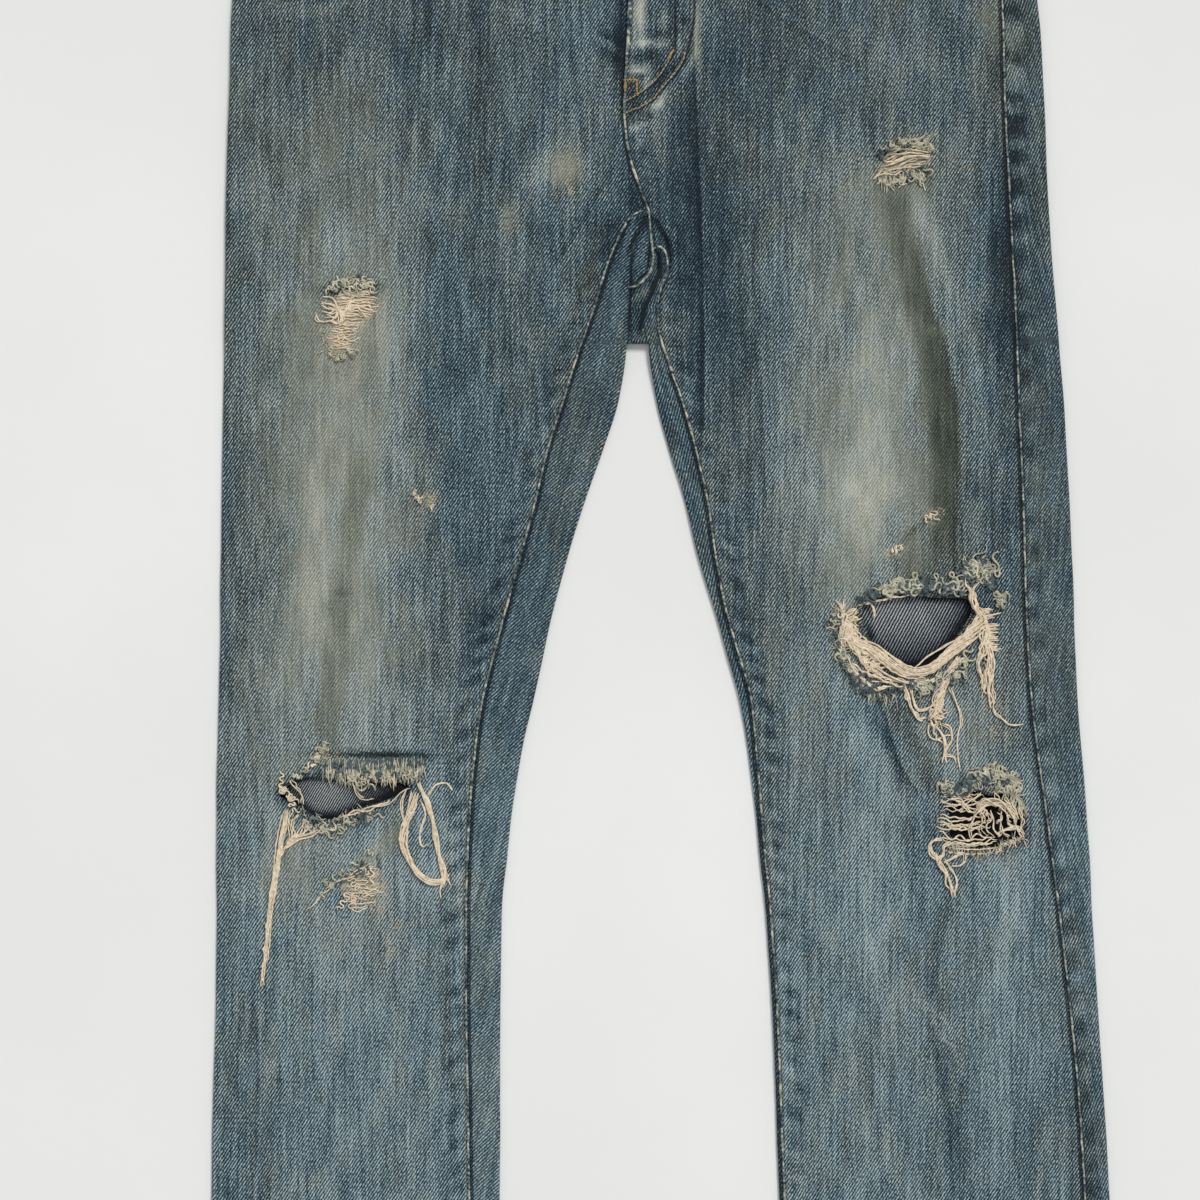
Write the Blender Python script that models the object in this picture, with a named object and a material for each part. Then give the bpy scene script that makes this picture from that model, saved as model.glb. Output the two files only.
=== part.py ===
"""Ripped straight-leg jeans, laid flat on their back with the front up.

Lengths are in millimetres until a piece is made. The garment's own frame has x across the
front (the wearer's left is +x), y up from the crotch and z up from the surface the jeans
lie on. The finished part has its origin under the middle of its outline, on that surface.
"""

from collections import namedtuple

import bmesh
import bpy
import numpy as np

MM = 0.001

# Driving dimensions
WALL = 1.2  # denim, with its nap
BAND_WALL = 2.2  # the waistband is folded double
SEAM_GAP = 0.3  # between pieces that are sewn together
CENTRE_X = 23.0  # middle of the outline, in the garment's frame
CENTRE_Y = -280.0
HEM_Y = -810.0
CROTCH_Y = -82.5  # lower edge of the cloth between the legs
BAND_Y = 210.0  # lower edge of the waistband
WAIST_Y = 250.0
FRONT_DIP = 16.0  # the waistband is lower at the front
FRONT_DIP_REACH = 220.0
SEAT_LIFT = WALL + SEAM_GAP  # the seat lies on its pockets and belt loops
LAYER_GAP = 0.5  # between the front and the back where they lie flat
OUTER_FOLD_GAP = 1.8
INNER_FOLD_GAP = 0.9
FOLD_REACH = 16.0  # how far a folded edge holds the layers apart
MOST_GAP = 3.7
HEM_TURN = 12.0  # height of the turned-up hem
HEM_GAP = 3.4  # room for two turned-up edges
FLY_LIFT = 1.2
FLY_WIDTH = 45.0
FLY_FOOT_Y = 67.0
POCKET_LIFT = 2.2  # the facing and its gap, under the pocket mouth
MOUTH_X = 245.0  # the scoop is a quarter ellipse round this side line
MOUTH_WIDTH = 130.0
MOUTH_DEPTH = 63.0
MOUTH_FOOT_Y = BAND_Y - MOUTH_DEPTH
BAND_LAYER_GAP = 0.8
BAND_MIDDLE = SEAT_LIFT + BAND_WALL / 2  # middle of the band's bottom layer
BAND_TOP_MIDDLE = BAND_MIDDLE + BAND_WALL + BAND_LAYER_GAP
BAND_LAP = (-12, 18)  # the wearer's left end laps over the right end
BAND_LAP_LIFT = BAND_WALL + SEAM_GAP
LOOP_X = 96.0
BACK_LOOP_X = 150.0
LOOP_WIDTH = 12.0
LOOP_END = 9.0  # below the band, where a loop is sewn down
FACING_EDGE = 104.0
FACING_OVERLAP = 14.0
YOKE_CENTRE_Y = 150.0
YOKE_SLOPE = 0.135

# The outline and the seams of both legs, one row for each station down the garment.
Station = namedtuple(
    "Station",
    "y right_outer right_turn right_inseam right_inner left_inner left_inseam left_outseam left_outer",
)
STATIONS = [
    Station(-810, -276.0, 20, -95.0, -80.0, 110.0, 114.0, 305.0, 322.0),
    Station(-720, -274.0, 22, -100.0, -83.0, 101.0, 103.4, 299.0, 316.0),
    Station(-638, -271.7, 24, -103.3, -84.5, 96.9, 99.3, 294.1, 311.4),
    Station(-573, -271.0, 24, -104.3, -83.9, 94.3, 96.7, 290.1, 308.0),
    Station(-508, -269.0, 24, -105.3, -83.8, 91.7, 94.1, 283.9, 303.6),
    Station(-443, -268.4, 24, -105.3, -82.5, 87.1, 89.5, 276.4, 299.7),
    Station(-411, -268.4, 24, -104.3, -79.3, 83.9, 86.3, 272.2, 298.0),
    Station(-378, -268.4, 23, -102.5, -75.4, 80.6, 83.6, 267.8, 295.8),
    Station(-346, -267.6, 22, -99.6, -70.2, 76.7, 80.9, 263.3, 293.0),
    Station(-313, -267.0, 21, -94.7, -62.4, 70.9, 77.6, 259.5, 290.6),
    Station(-281, -266.4, 20, -86.7, -55.2, 61.8, 68.6, 257.2, 289.3),
    Station(-248, -265.9, 19, -78.0, -48.0, 52.7, 59.7, 255.7, 288.0),
    Station(-216, -265.5, 18, -69.0, -39.0, 42.9, 54.0, 254.8, 286.8),
    Station(-183, -265.2, 17, -60.2, -28.6, 35.1, 49.1, 254.0, 285.4),
    Station(-151, -264.6, 16, -52.6, -17.5, 25.4, 41.8, 252.6, 283.4),
    Station(-118, -264.0, 14, -42.2, -7.2, 16.9, 32.4, 251.2, 281.5),
    Station(-82.5, -263.3, 12, -31.0, -2.0, 11.7, 20.8, 249.8, 278.4),
    Station(-53, -262.6, 10, -21.2, -2.0, 11.7, 18.6, 248.4, 275.6),
    Station(12, -262.0, 7, 9.0, -2.0, 11.7, 14.0, 244.9, 271.0),
    Station(77, -260.0, 5, 9.0, -2.0, 11.7, 14.0, 241.8, 268.5),
    Station(142, -258.0, 5, 9.0, -2.0, 11.7, 14.0, 239.9, 264.0),
    Station(210, -238.0, 5, 9.0, -2.0, 11.7, 14.0, 221.0, 243.0),
    Station(250, -229.0, 5, 9.0, -2.0, 11.7, 14.0, 212.0, 233.0),
]

# The three seams that meet at the crotch, over the cloth between the legs.
Crotch = namedtuple("Crotch", "y right_inseam seat_seam left_inseam")
CROTCH = [
    Crotch(-82.5, -31.0, 0.5, 20.8),
    Crotch(-62, -24.0, 0.5, 18.2),
    Crotch(-48, -19.6, 0.5, 20.6),
    Crotch(-40, -17.2, 9.0, 24.7),
    Crotch(-33, -15.0, 14.0, 25.8),
    Crotch(-20, -9.6, 13.8, 25.2),
    Crotch(-10, -5.3, 13.2, 21.6),
    Crotch(0, 0.9, 12.6, 16.0),
]

# The centre seam, and the edge of the fly above it.
Centre = namedtuple("Centre", "y x")
CENTRE = [
    Centre(3, 11.6),
    Centre(20, 5.2),
    Centre(37, -0.6),
    Centre(52, -3.2),
    Centre(67, -4.5),
    Centre(88, -3.9),
    Centre(115, -2.0),
    Centre(142, -0.6),
    Centre(210, 2.0),
]

# The widest creases of the top layer, as ridges that run from one end to the other.
Crease = namedtuple("Crease", "name x0 y0 x1 y1 height width")
CREASES = [
    Crease("right hip", -222, 122, -120, 66, 1.0, 16),
    Crease("right thigh", -128, 125, -166, -90, 1.5, 20),
    Crease("right knee, above", -166, -90, -204, -338, 1.3, 18),
    Crease("right knee, below", -246, -398, -150, -436, 1.2, 16),
    Crease("right shin", -236, -480, -232, -646, 1.2, 15),
    Crease("right ankle", -236, -700, -130, -744, 1.3, 22),
    Crease("beside the fly", 62, 70, 60, -138, 1.2, 13),
    Crease("left hip", 212, 116, 122, 70, 1.0, 16),
    Crease("left thigh", 160, 24, 190, -84, 1.6, 17),
    Crease("left knee, above", 190, -84, 206, -236, 1.6, 17),
    Crease("between the left rips", 150, -302, 184, -368, 1.9, 14),
    Crease("left knee, outer", 200, -318, 216, -364, 1.2, 11),
    Crease("left shin", 206, -426, 196, -509, 1.4, 15),
    Crease("left shin, lower", 196, -509, 208, -606, 1.4, 15),
    Crease("left ankle", 142, -690, 250, -736, 1.5, 22),
]

# Each rip is cut through the front panel, along these points.
RIGHT_KNEE_RIP = [
    (-224, -371), (-213, -365), (-190, -364), (-143, -367), (-157, -377), (-181, -386), (-194, -391), (-208, -388),
    (-216, -380),
]
LEFT_KNEE_RIP = [
    (151, -249), (183, -244), (220, -248), (220, -256), (209, -274), (196, -287), (184, -292), (172, -291),
    (162, -281), (153, -273),
]
LEFT_SHIN_RIP = [
    (206, -380), (223, -372), (243, -374), (253, -385), (254, -401), (241, -411), (224, -408), (208, -401),
]

# Rows of the panels: down the legs, over the crotch, and above it.
LEG_ROWS = [
    -760, -720, -680, -638, -595, -550, -508, -475, -443, -411, -378, -346, -313, -281, -248, -216, -183, -151,
    -118, -98,
]
CROTCH_ROWS = [row.y for row in CROTCH[1:]]
FRONT_ROWS = [3, 20, 45, 77]
FRONT_TOP_STEPS = 4
SEAT_ROWS = [-40, 0, 45, 77]
FOLD_STEPS = 3

DENIM = (0.105, 0.150, 0.165)
DENIM_BACK = (0.085, 0.125, 0.140)
DENIM_TRIM = (0.075, 0.112, 0.128)
FACING_DENIM = (0.070, 0.105, 0.125)
OLD_BRASS = (0.34, 0.24, 0.12)


# Curves and heights


def curve(table, column, y):
    """The column's value at y, on a smooth curve through the table that never overshoots it."""
    knots = np.array([row.y for row in table], float)
    values = np.array([getattr(row, column) for row in table], float)
    y = np.clip(y, knots[0], knots[-1])
    steps = np.diff(knots)
    rates = np.diff(values) / steps
    slopes = np.zeros(len(knots))
    slopes[0] = rates[0]
    slopes[-1] = rates[-1]
    same = rates[:-1] * rates[1:] > 0
    total = np.where(same, rates[:-1] + rates[1:], 1.0)
    slopes[1:-1] = np.where(same, 2 * rates[:-1] * rates[1:] / total, 0.0)
    at = np.clip(np.searchsorted(knots, y) - 1, 0, len(steps) - 1)
    t = (y - knots[at]) / steps[at]
    ease = t * t * (3 - 2 * t)
    start = t * (1 - t) ** 2 * steps[at] * slopes[at]
    end = t * t * (t - 1) * steps[at] * slopes[at + 1]
    return values[at] + (values[at + 1] - values[at]) * ease + start + end


def ramp(value, start, end):
    """0 before start and 1 past end, eased between them."""
    t = np.clip((value - start) / (end - start), 0, 1)
    return t * t * (3 - 2 * t)


def hem_share(y):
    return 1 - ramp(y, HEM_Y + HEM_TURN + 4, HEM_Y + 60)


def fold_gap(kind, y):
    """The room between the layers at a folded edge."""
    gap = OUTER_FOLD_GAP if kind == "outer" else INNER_FOLD_GAP
    return gap + (HEM_GAP - gap) * hem_share(y)


def fold_radius(kind, y):
    return (fold_gap(kind, y) + WALL) / 2


def fold_direction(side, kind):
    outward = -1 if side == "right" else 1
    return outward if kind == "outer" else -outward


def fold_centre(side, kind, y):
    edge = curve(STATIONS, f"{side}_{kind}", y)
    return edge - fold_direction(side, kind) * (fold_radius(kind, y) + WALL / 2)


def under_height(y):
    """Middle of the bottom layer: flat on the surface, and lifted where the seat lies on its pockets."""
    return WALL / 2 + SEAT_LIFT * ramp(y, -118, -66)


def fold_shares(x, y):
    """How near the point is to an outer and to an inner folded edge, from 0 to 1."""
    outer = np.minimum(
        np.abs(x - fold_centre("right", "outer", y)),
        np.abs(x - fold_centre("left", "outer", y)),
    )
    low_right = fold_centre("right", "inner", y)
    low_left = fold_centre("left", "inner", y)
    below = np.minimum(np.abs(x - low_right), np.abs(x - low_left))
    corner_y = crotch_line()
    past = np.maximum(np.maximum(low_right - x, x - low_left), 0)
    above = np.hypot(past, y - corner_y)
    inner = np.where(y < corner_y, below, above)
    return np.exp(-((outer / FOLD_REACH) ** 2)), np.exp(-((inner / FOLD_REACH) ** 2))


def crease_height(x, y):
    total = np.zeros(np.broadcast(x, y).shape)
    for crease in CREASES:
        run_x, run_y = crease.x1 - crease.x0, crease.y1 - crease.y0
        length = np.hypot(run_x, run_y)
        along = ((x - crease.x0) * run_x + (y - crease.y0) * run_y) / length
        across = ((x - crease.x0) * run_y - (y - crease.y0) * run_x) / length
        ends = ramp(along, -0.15 * length, 0.2 * length) * (1 - ramp(along, 0.8 * length, 1.15 * length))
        total += crease.height * ends * np.exp(-((across / crease.width) ** 2))
    return total


def top_height(x, y):
    """Middle of the top layer, without what the fly and the pockets add."""
    outer, inner = fold_shares(x, y)
    share = np.clip(outer + inner, 0, 1)
    at_fold = (outer * fold_gap("outer", y) + inner * fold_gap("inner", y)) / np.maximum(outer + inner, 1e-9)
    flat = LAYER_GAP + crease_height(x, y)
    gap = np.minimum(flat + (at_fold - flat) * share, MOST_GAP)
    gap = gap + (HEM_GAP - gap) * hem_share(y)
    return under_height(y) + WALL + gap


def crotch_line():
    """Height of the centre line of the fold between the legs."""
    return CROTCH_Y + fold_radius("inner", CROTCH_Y) + WALL / 2


def mouth_share(x, y):
    """How far a point is from the pocket's corner: 1 on the mouth, less inside it."""
    across = np.maximum(MOUTH_X - np.abs(x), 0) / MOUTH_WIDTH
    return np.hypot(across, (BAND_Y - y) / MOUTH_DEPTH)


def side_line(x, y):
    """Distance from the side seam, or from the fold that hides it."""
    right = x - fold_centre("right", "outer", y)
    left = curve(STATIONS, "left_outseam", y) - x
    return np.where(x < 0, right, left)


def front_height(x, y):
    """Middle of a front panel: the top layer, lifted over the fly and the pocket facings."""
    fly = ramp(y, FLY_FOOT_Y - 12, FLY_FOOT_Y + 14) * (1 - ramp(x, FLY_WIDTH - 6, FLY_WIDTH + 10))
    over_fly = np.where(x > curve(CENTRE, "x", y), fly, 0)
    over_facing = 1 - ramp(mouth_share(x, y), 1.25, 1.75)
    over_facing = over_facing * ramp(side_line(x, y), 3, 26)
    return top_height(x, y) + FLY_LIFT * over_fly + POCKET_LIFT * over_facing


def band_edge(x):
    """Lower edge of the waistband across the front."""
    return BAND_Y - FRONT_DIP * np.cos(np.clip(x / FRONT_DIP_REACH, -1, 1) * np.pi / 2) ** 2


def front_top(x):
    """Upper edge of a front panel: the waistband, and the pocket mouth beside it."""
    across = np.clip((MOUTH_X - np.abs(x)) / MOUTH_WIDTH, 0, 1)
    mouth = BAND_Y - MOUTH_DEPTH * np.sqrt(1 - across**2)
    return np.minimum(band_edge(x), mouth) - SEAM_GAP


def yoke_seam(x):
    return YOKE_CENTRE_Y + YOKE_SLOPE * np.abs(x)


# Strips: each panel is a row of them, joined edge to edge round the leg. A flat strip runs between two seams or
# folds, and a fold strip turns from one layer to the other, through angles measured from the top.
Strip = namedtuple("Strip", "kind side start end steps")


def strip_points(strip, y, inset, height):
    share = np.linspace(0, 1, strip.steps + 1)[None, :]
    if strip.kind in ("top", "under"):
        x = strip.start(y) + (strip.end(y) - strip.start(y)) * share
        z = height(x, y) - inset if strip.kind == "top" else under_height(y) + inset
        return np.stack([x, y, z], axis=-1)
    angle = strip.start + (strip.end - strip.start) * share
    radius = fold_radius(strip.kind, y)
    outward = fold_direction(strip.side, strip.kind)
    x = fold_centre(strip.side, strip.kind, y) + outward * (radius - inset) * np.sin(angle)
    z = under_height(y) + radius + (radius - inset) * np.cos(angle)
    return np.stack([x, y, z], axis=-1)


def grid(strips, rows, inset=0.0, height=top_height):
    """Points of a panel. rows is a list of shares, and what turns x and a share into a height."""
    shares, height_of_row = rows
    parts = []
    for strip in strips:
        share = np.array(shares, float)[:, None] + np.zeros(strip.steps + 1)
        y = np.full(share.shape, MOUTH_FOOT_Y)
        for _ in range(6):
            x = strip_points(strip, y, 0.0, height)[:, :, 0]
            y = height_of_row(x, share)
        points = strip_points(strip, y, inset, height)
        parts.append(points if not parts else points[:, 1:])
    return np.concatenate(parts, axis=1)


def level(heights):
    """Rows at the same heights all along the panel."""
    return heights, lambda x, height: height + 0 * x


def between(low, high, steps, first=0):
    """Rows from one shaped edge up to another."""
    return np.linspace(0, 1, steps + 1)[first:], lambda x, share: low(x) + (high(x) - low(x)) * share


def hem_grid(strips):
    """The hem: each panel turns up inside its own leg."""
    turn = (WALL + SEAM_GAP) / 2
    lowest = HEM_Y + WALL / 2
    return np.concatenate(
        [
            grid(strips, level([HEM_Y + HEM_TURN, lowest + turn]), inset=2 * turn),
            grid(strips, level([lowest]), inset=turn),
            grid(strips, level([lowest + turn, HEM_Y + HEM_TURN + 3])),
        ]
    )


# Seams, each moved half a gap away from its neighbour


def seam(table, column, shift):
    return lambda y: curve(table, column, y) + shift * SEAM_GAP / 2


def inner_seam(side, shift):
    """Inner edge of a front panel: the inseam, then the centre seam and the fly."""

    def edge(y):
        inseam = np.where(
            y < CROTCH_Y,
            curve(STATIONS, f"{side}_inseam", y),
            curve(CROTCH, f"{side}_inseam", y),
        )
        return np.where(y <= 0, inseam, curve(CENTRE, "x", y)) + shift * SEAM_GAP / 2

    return edge


def right_turn(shift):
    """The right outseam, on the underside."""
    return lambda y: curve(STATIONS, "right_outer", y) + curve(STATIONS, "right_turn", y) + shift * SEAM_GAP / 2


def centre_of(side, kind):
    return lambda y: fold_centre(side, kind, y)


def at(x):
    return lambda y: x + 0 * y


# Making the pieces


def material(name, colour, roughness=0.9, metallic=0.0):
    made = bpy.data.materials.new(name)
    made.use_nodes = True
    shader = made.node_tree.nodes["Principled BSDF"]
    shader.inputs["Base Color"].default_value = (*colour, 1)
    shader.inputs["Roughness"].default_value = roughness
    shader.inputs["Metallic"].default_value = metallic
    made.diffuse_color = (*colour, 1)
    return made


def new_object(name, shape, look):
    mesh = bpy.data.meshes.new(name)
    shape.to_mesh(mesh)
    shape.free()
    mesh.materials.append(look)
    piece = bpy.data.objects.new(name, mesh)
    bpy.context.scene.collection.objects.link(piece)
    return piece


def to_world(points):
    return (np.asarray(points, float) - (CENTRE_X, CENTRE_Y, 0)) * MM


def add_grid(shape, points):
    corners = [[shape.verts.new(point) for point in row] for row in to_world(points)]
    for low, high in zip(corners[:-1], corners[1:]):
        for a, b, c, d in zip(low[:-1], low[1:], high[1:], high[:-1]):
            shape.faces.new((a, b, c, d))


def sheet(name, grids, look, wall=WALL, rips=()):
    """A wall of cloth with its middle on the grids, which share their edges."""
    shape = bmesh.new()
    for points in grids:
        add_grid(shape, points)
    bmesh.ops.remove_doubles(shape, verts=shape.verts, dist=0.00001)
    bmesh.ops.recalc_face_normals(shape, faces=shape.faces)
    piece = new_object(name, shape, look)
    thick = piece.modifiers.new("wall", "SOLIDIFY")
    thick.thickness = wall * MM
    thick.offset = 0
    thick.use_even_offset = True
    for number, outline in enumerate(rips):
        cut = piece.modifiers.new("rip", "BOOLEAN")
        cut.operation = "DIFFERENCE"
        cut.solver = "EXACT"
        cut.object = prism(f"{name}_rip_{number}", outline, 0.5, 20, look)
        cut.object.hide_render = True
        cut.object.display_type = "WIRE"
    return piece


def prism(name, outline, low, high, look):
    shape = bmesh.new()
    corners = [shape.verts.new(to_world((x, y, low))) for x, y in outline]
    base = shape.faces.new(corners)
    raised = bmesh.ops.extrude_face_region(shape, geom=[base])["geom"]
    top = [item for item in raised if isinstance(item, bmesh.types.BMVert)]
    bmesh.ops.translate(shape, verts=top, vec=(0, 0, (high - low) * MM))
    bmesh.ops.recalc_face_normals(shape, faces=shape.faces)
    return new_object(name, shape, look)


def lathe(name, x, y, profile, look, sides=16):
    """A turned piece on a vertical axis, from (radius, height) pairs that begin and end on the axis."""
    shape = bmesh.new()
    centre = to_world((x, y, 0))
    line = [shape.verts.new(centre + np.array([r, 0, z]) * MM) for r, z in profile]
    edges = [shape.edges.new(pair) for pair in zip(line[:-1], line[1:])]
    bmesh.ops.spin(
        shape, geom=line + edges, cent=centre, axis=(0, 0, 1), angle=2 * np.pi, steps=sides, use_merge=True
    )
    bmesh.ops.remove_doubles(shape, verts=shape.verts, dist=0.00001)
    bmesh.ops.recalc_face_normals(shape, faces=shape.faces)
    piece = new_object(name, shape, look)
    piece.data.shade_smooth()
    piece.data.set_sharp_from_angle(angle=0.6)
    return piece


def make_fronts(look):
    rows = [*LEG_ROWS, CROTCH_Y, *CROTCH_ROWS, *FRONT_ROWS]
    right = [
        Strip("under", "right", right_turn(-1), centre_of("right", "outer"), 1),
        Strip("outer", "right", np.pi, 0.0, FOLD_STEPS),
        Strip("top", "right", centre_of("right", "outer"), inner_seam("right", -1), 10),
    ]
    left = [Strip("top", "left", inner_seam("left", 1), seam(STATIONS, "left_outseam", -1), 11)]
    for side, strips, rips in (
        ("right", right, [RIGHT_KNEE_RIP]),
        ("left", left, [LEFT_KNEE_RIP, LEFT_SHIN_RIP]),
    ):
        body = np.concatenate(
            [
                hem_grid(strips),
                grid(strips, level(rows), height=front_height),
                grid(strips, between(at(FRONT_ROWS[-1]), front_top, FRONT_TOP_STEPS, first=1), height=front_height),
            ]
        )
        sheet(f"{side}_front", [body], look, rips=rips)


def make_backs(look):
    """Each back runs from its inseam on the top layer, round the inner fold, to its outseam."""
    right_leg = [
        Strip("top", "right", seam(STATIONS, "right_inseam", 1), centre_of("right", "inner"), 2),
        Strip("inner", "right", 0.0, np.pi, FOLD_STEPS),
    ]
    right_seat = [Strip("under", "right", centre_of("right", "inner"), right_turn(1), 7)]
    left_leg = [
        Strip("top", "left", seam(STATIONS, "left_inseam", -1), centre_of("left", "inner"), 1),
        Strip("inner", "left", 0.0, np.pi, FOLD_STEPS),
    ]
    left_seat = [
        Strip("under", "left", centre_of("left", "inner"), centre_of("left", "outer"), 8),
        Strip("outer", "left", np.pi, 0.0, FOLD_STEPS),
        Strip("top", "left", centre_of("left", "outer"), seam(STATIONS, "left_outseam", 1), 2),
    ]
    for side, leg, seat, shift in (("right", right_leg, right_seat, -1), ("left", left_leg, left_seat, 1)):
        line = crotch_line()
        leg_part = np.concatenate([hem_grid(leg + seat), grid(leg + seat, level(LEG_ROWS))])
        corner = crotch_corner(side, leg, seat)
        leg_part = np.concatenate([leg_part, corner[None]])
        seat_rows = [line, *SEAT_ROWS, *side_rows()]
        seat_part = np.concatenate(
            [grid(seat, level(seat_rows)), grid(seat, between(at(seat_rows[-1]), yoke_below, 2, first=1))]
        )
        tongue, bridge, seat_edge = crotch_pieces(side, shift, leg[0].steps)
        sheet(f"{side}_back", [leg_part, seat_part, tongue, bridge, seat_edge], look)


def side_rows():
    """Rows of a back beside the top rows of its front, so that their seam matches."""
    foot = MOUTH_FOOT_Y - SEAM_GAP
    return np.linspace(FRONT_ROWS[-1], foot, FRONT_TOP_STEPS + 1)[1:]


def yoke_below(x):
    return yoke_seam(x) - SEAM_GAP


def crotch_corner(side, leg, seat):
    """The last row of a leg: its inner fold turns here, on a diagonal, into the fold between the legs."""
    line = crotch_line()
    radius = fold_radius("inner", line)
    row = grid(leg + seat, level([line]))[0]
    first = leg[0].steps
    turn = np.linspace(0, np.pi, FOLD_STEPS + 1)
    row[first : first + FOLD_STEPS + 1, 1] = line - radius * np.sin(turn)
    return row


def crotch_pieces(side, shift, steps):
    """The cloth between the legs: a tongue on the top, the fold under it, and the edge of the seat behind."""
    line = crotch_line()
    radius = fold_radius("inner", line)
    edge = seam(CROTCH, "seat_seam", shift)
    corner = float(fold_centre(side, "inner", line))
    seam_x = float(edge(CROTCH_Y))
    columns = 1 if side == "right" else 2
    share = np.linspace(0, 1, columns + 1)
    heights = np.array([line, *CROTCH_ROWS[:-1], -0.5])[:, None]
    inseam = seam(CROTCH, f"{side}_inseam", -shift)
    split = (corner - float(inseam(CROTCH_Y))) / (seam_x - float(inseam(CROTCH_Y)))
    outer_x = inseam(heights) + (edge(heights) - inseam(heights)) * split * np.linspace(0, 1, steps + 1)
    outer_x[0] = grid_x_on_line(side, steps)
    inner_x = outer_x[:, -1:] + (edge(heights) - outer_x[:, -1:]) * share[1:]
    x = np.concatenate([outer_x, inner_x], axis=1)
    y = heights + 0 * x
    tongue = np.stack([x, y, top_height(x, y)], axis=-1)

    turn = np.linspace(0, np.pi, FOLD_STEPS + 1)
    across = (corner + (seam_x - corner) * share)[:, None]
    bridge = np.stack(
        [
            across + 0 * turn,
            line - radius * np.sin(turn) + 0 * across,
            under_height(line) + radius + radius * np.cos(turn) + 0 * across,
        ],
        axis=-1,
    )
    bridge[0, :, 0] = corner + fold_direction(side, "inner") * radius * np.sin(turn)

    last = side_rows()[-1]
    seat_rows = np.array([line, *SEAT_ROWS, *side_rows(), last, last])[:, None]
    inner_edge = fold_centre(side, "inner", seat_rows)
    seat_x = seam_x + (inner_edge - seam_x) * share
    seat_y = seat_rows + 0 * seat_x
    rise = yoke_below(seat_x[-1]) - last
    seat_y[-2] += rise / 2
    seat_y[-1] += rise
    seat_edge = np.stack([seat_x, seat_y, under_height(seat_y)], axis=-1)
    return tongue, bridge.transpose(1, 0, 2), seat_edge


def grid_x_on_line(side, steps):
    line = np.array([[crotch_line()]])
    shift = 1 if side == "right" else -1
    start = seam(STATIONS, f"{side}_inseam", shift)(line)
    end = fold_centre(side, "inner", line)
    return (start + (end - start) * np.linspace(0, 1, steps + 1))[0]


def make_yokes(look):
    rows = between(yoke_seam, at(BAND_Y - SEAM_GAP), 3)
    right = [Strip("under", "right", at(0.35), right_turn(1), 6)]
    left = [
        Strip("under", "left", at(0.65), centre_of("left", "outer"), 6),
        Strip("outer", "left", np.pi, 0.0, FOLD_STEPS),
        Strip("top", "left", centre_of("left", "outer"), seam(STATIONS, "left_outseam", 1), 1),
    ]
    sheet("right_yoke", [grid(right, rows)], look)
    sheet("left_yoke", [grid(left, rows)], look)


def facing_foot(x):
    """Lower edge of a pocket facing: under the front, and level with its mouth beside the side seam."""
    level_part = front_top(x) + 2 * SEAM_GAP
    across = np.clip((MOUTH_X - np.abs(x)) / (MOUTH_WIDTH + FACING_OVERLAP), 0, 1)
    under_part = BAND_Y - (MOUTH_DEPTH + FACING_OVERLAP) * np.sqrt(1 - across**2)
    share = ramp(MOUTH_X - np.abs(x), 30, 54)
    return level_part + (under_part - level_part) * share


def make_pocket_facings(look):
    """The denim that shows in each scoop pocket, and runs a little way under the front."""
    rows = between(facing_foot, lambda x: band_edge(x) - SEAM_GAP, 5)
    right = [
        Strip("under", "right", right_turn(-1), centre_of("right", "outer"), 1),
        Strip("outer", "right", np.pi, 0.0, FOLD_STEPS),
        Strip("top", "right", centre_of("right", "outer"), at(-FACING_EDGE), 7),
    ]
    left = [Strip("top", "left", at(FACING_EDGE), seam(STATIONS, "left_outseam", -1), 7)]
    sheet("right_pocket_facing", [grid(right, rows)], look)
    sheet("left_pocket_facing", [grid(left, rows)], look)


def make_back_pockets(look):
    width, foot, height, point = 150, 130, 160, 18
    for side, middle in (("right", -118), ("left", 118)):
        top_y = 135
        outline = [
            (middle - width / 2, top_y),
            (middle - foot / 2, top_y - height + point),
            (middle, top_y - height),
            (middle + foot / 2, top_y - height + point),
            (middle + width / 2, top_y),
        ]
        prism(f"{side}_back_pocket", outline, 0, WALL, look)


def make_waistband(look):
    """One strip of double cloth, from the end under the lap, round the back, to the end on top."""
    radius = (BAND_WALL + BAND_LAYER_GAP) / 2
    middle = BAND_MIDDLE + radius
    turn = np.linspace(0, np.pi, FOLD_STEPS + 1)
    rows = []
    for share in (0, 0.5, 1):
        y = BAND_Y + (WAIST_Y - BAND_Y) * share
        right = float(curve(STATIONS, "right_outer", y)) + radius + BAND_WALL / 2
        left = float(curve(STATIONS, "left_outer", y)) - radius - BAND_WALL / 2
        under_lap = np.linspace(BAND_LAP[1], right, 13)
        back = np.linspace(right, left, 9)[1:-1]
        over_lap = np.array([left, 208, 184, 160, 136, 112, 88, 66, 46, BAND_LAP[1] + 4, BAND_LAP[0]])
        over_z = middle + radius + BAND_LAP_LIFT * (1 - ramp(over_lap, BAND_LAP[1] + 4, 62))
        x = np.concatenate(
            [under_lap, right - radius * np.sin(turn[1:]), back, left + radius * np.sin(turn), over_lap[1:]]
        )
        z = np.concatenate(
            [
                np.full(len(under_lap), middle + radius),
                middle + radius * np.cos(turn[1:]),
                np.full(len(back), middle - radius),
                middle - radius * np.cos(turn),
                over_z[1:],
            ]
        )
        on_top = z > middle
        dip = np.where(on_top, BAND_Y - band_edge(x), 0)
        rows.append(np.stack([x, y - dip, z], axis=-1))
    sheet("waistband", [np.array(rows)], look, wall=BAND_WALL)


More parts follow.
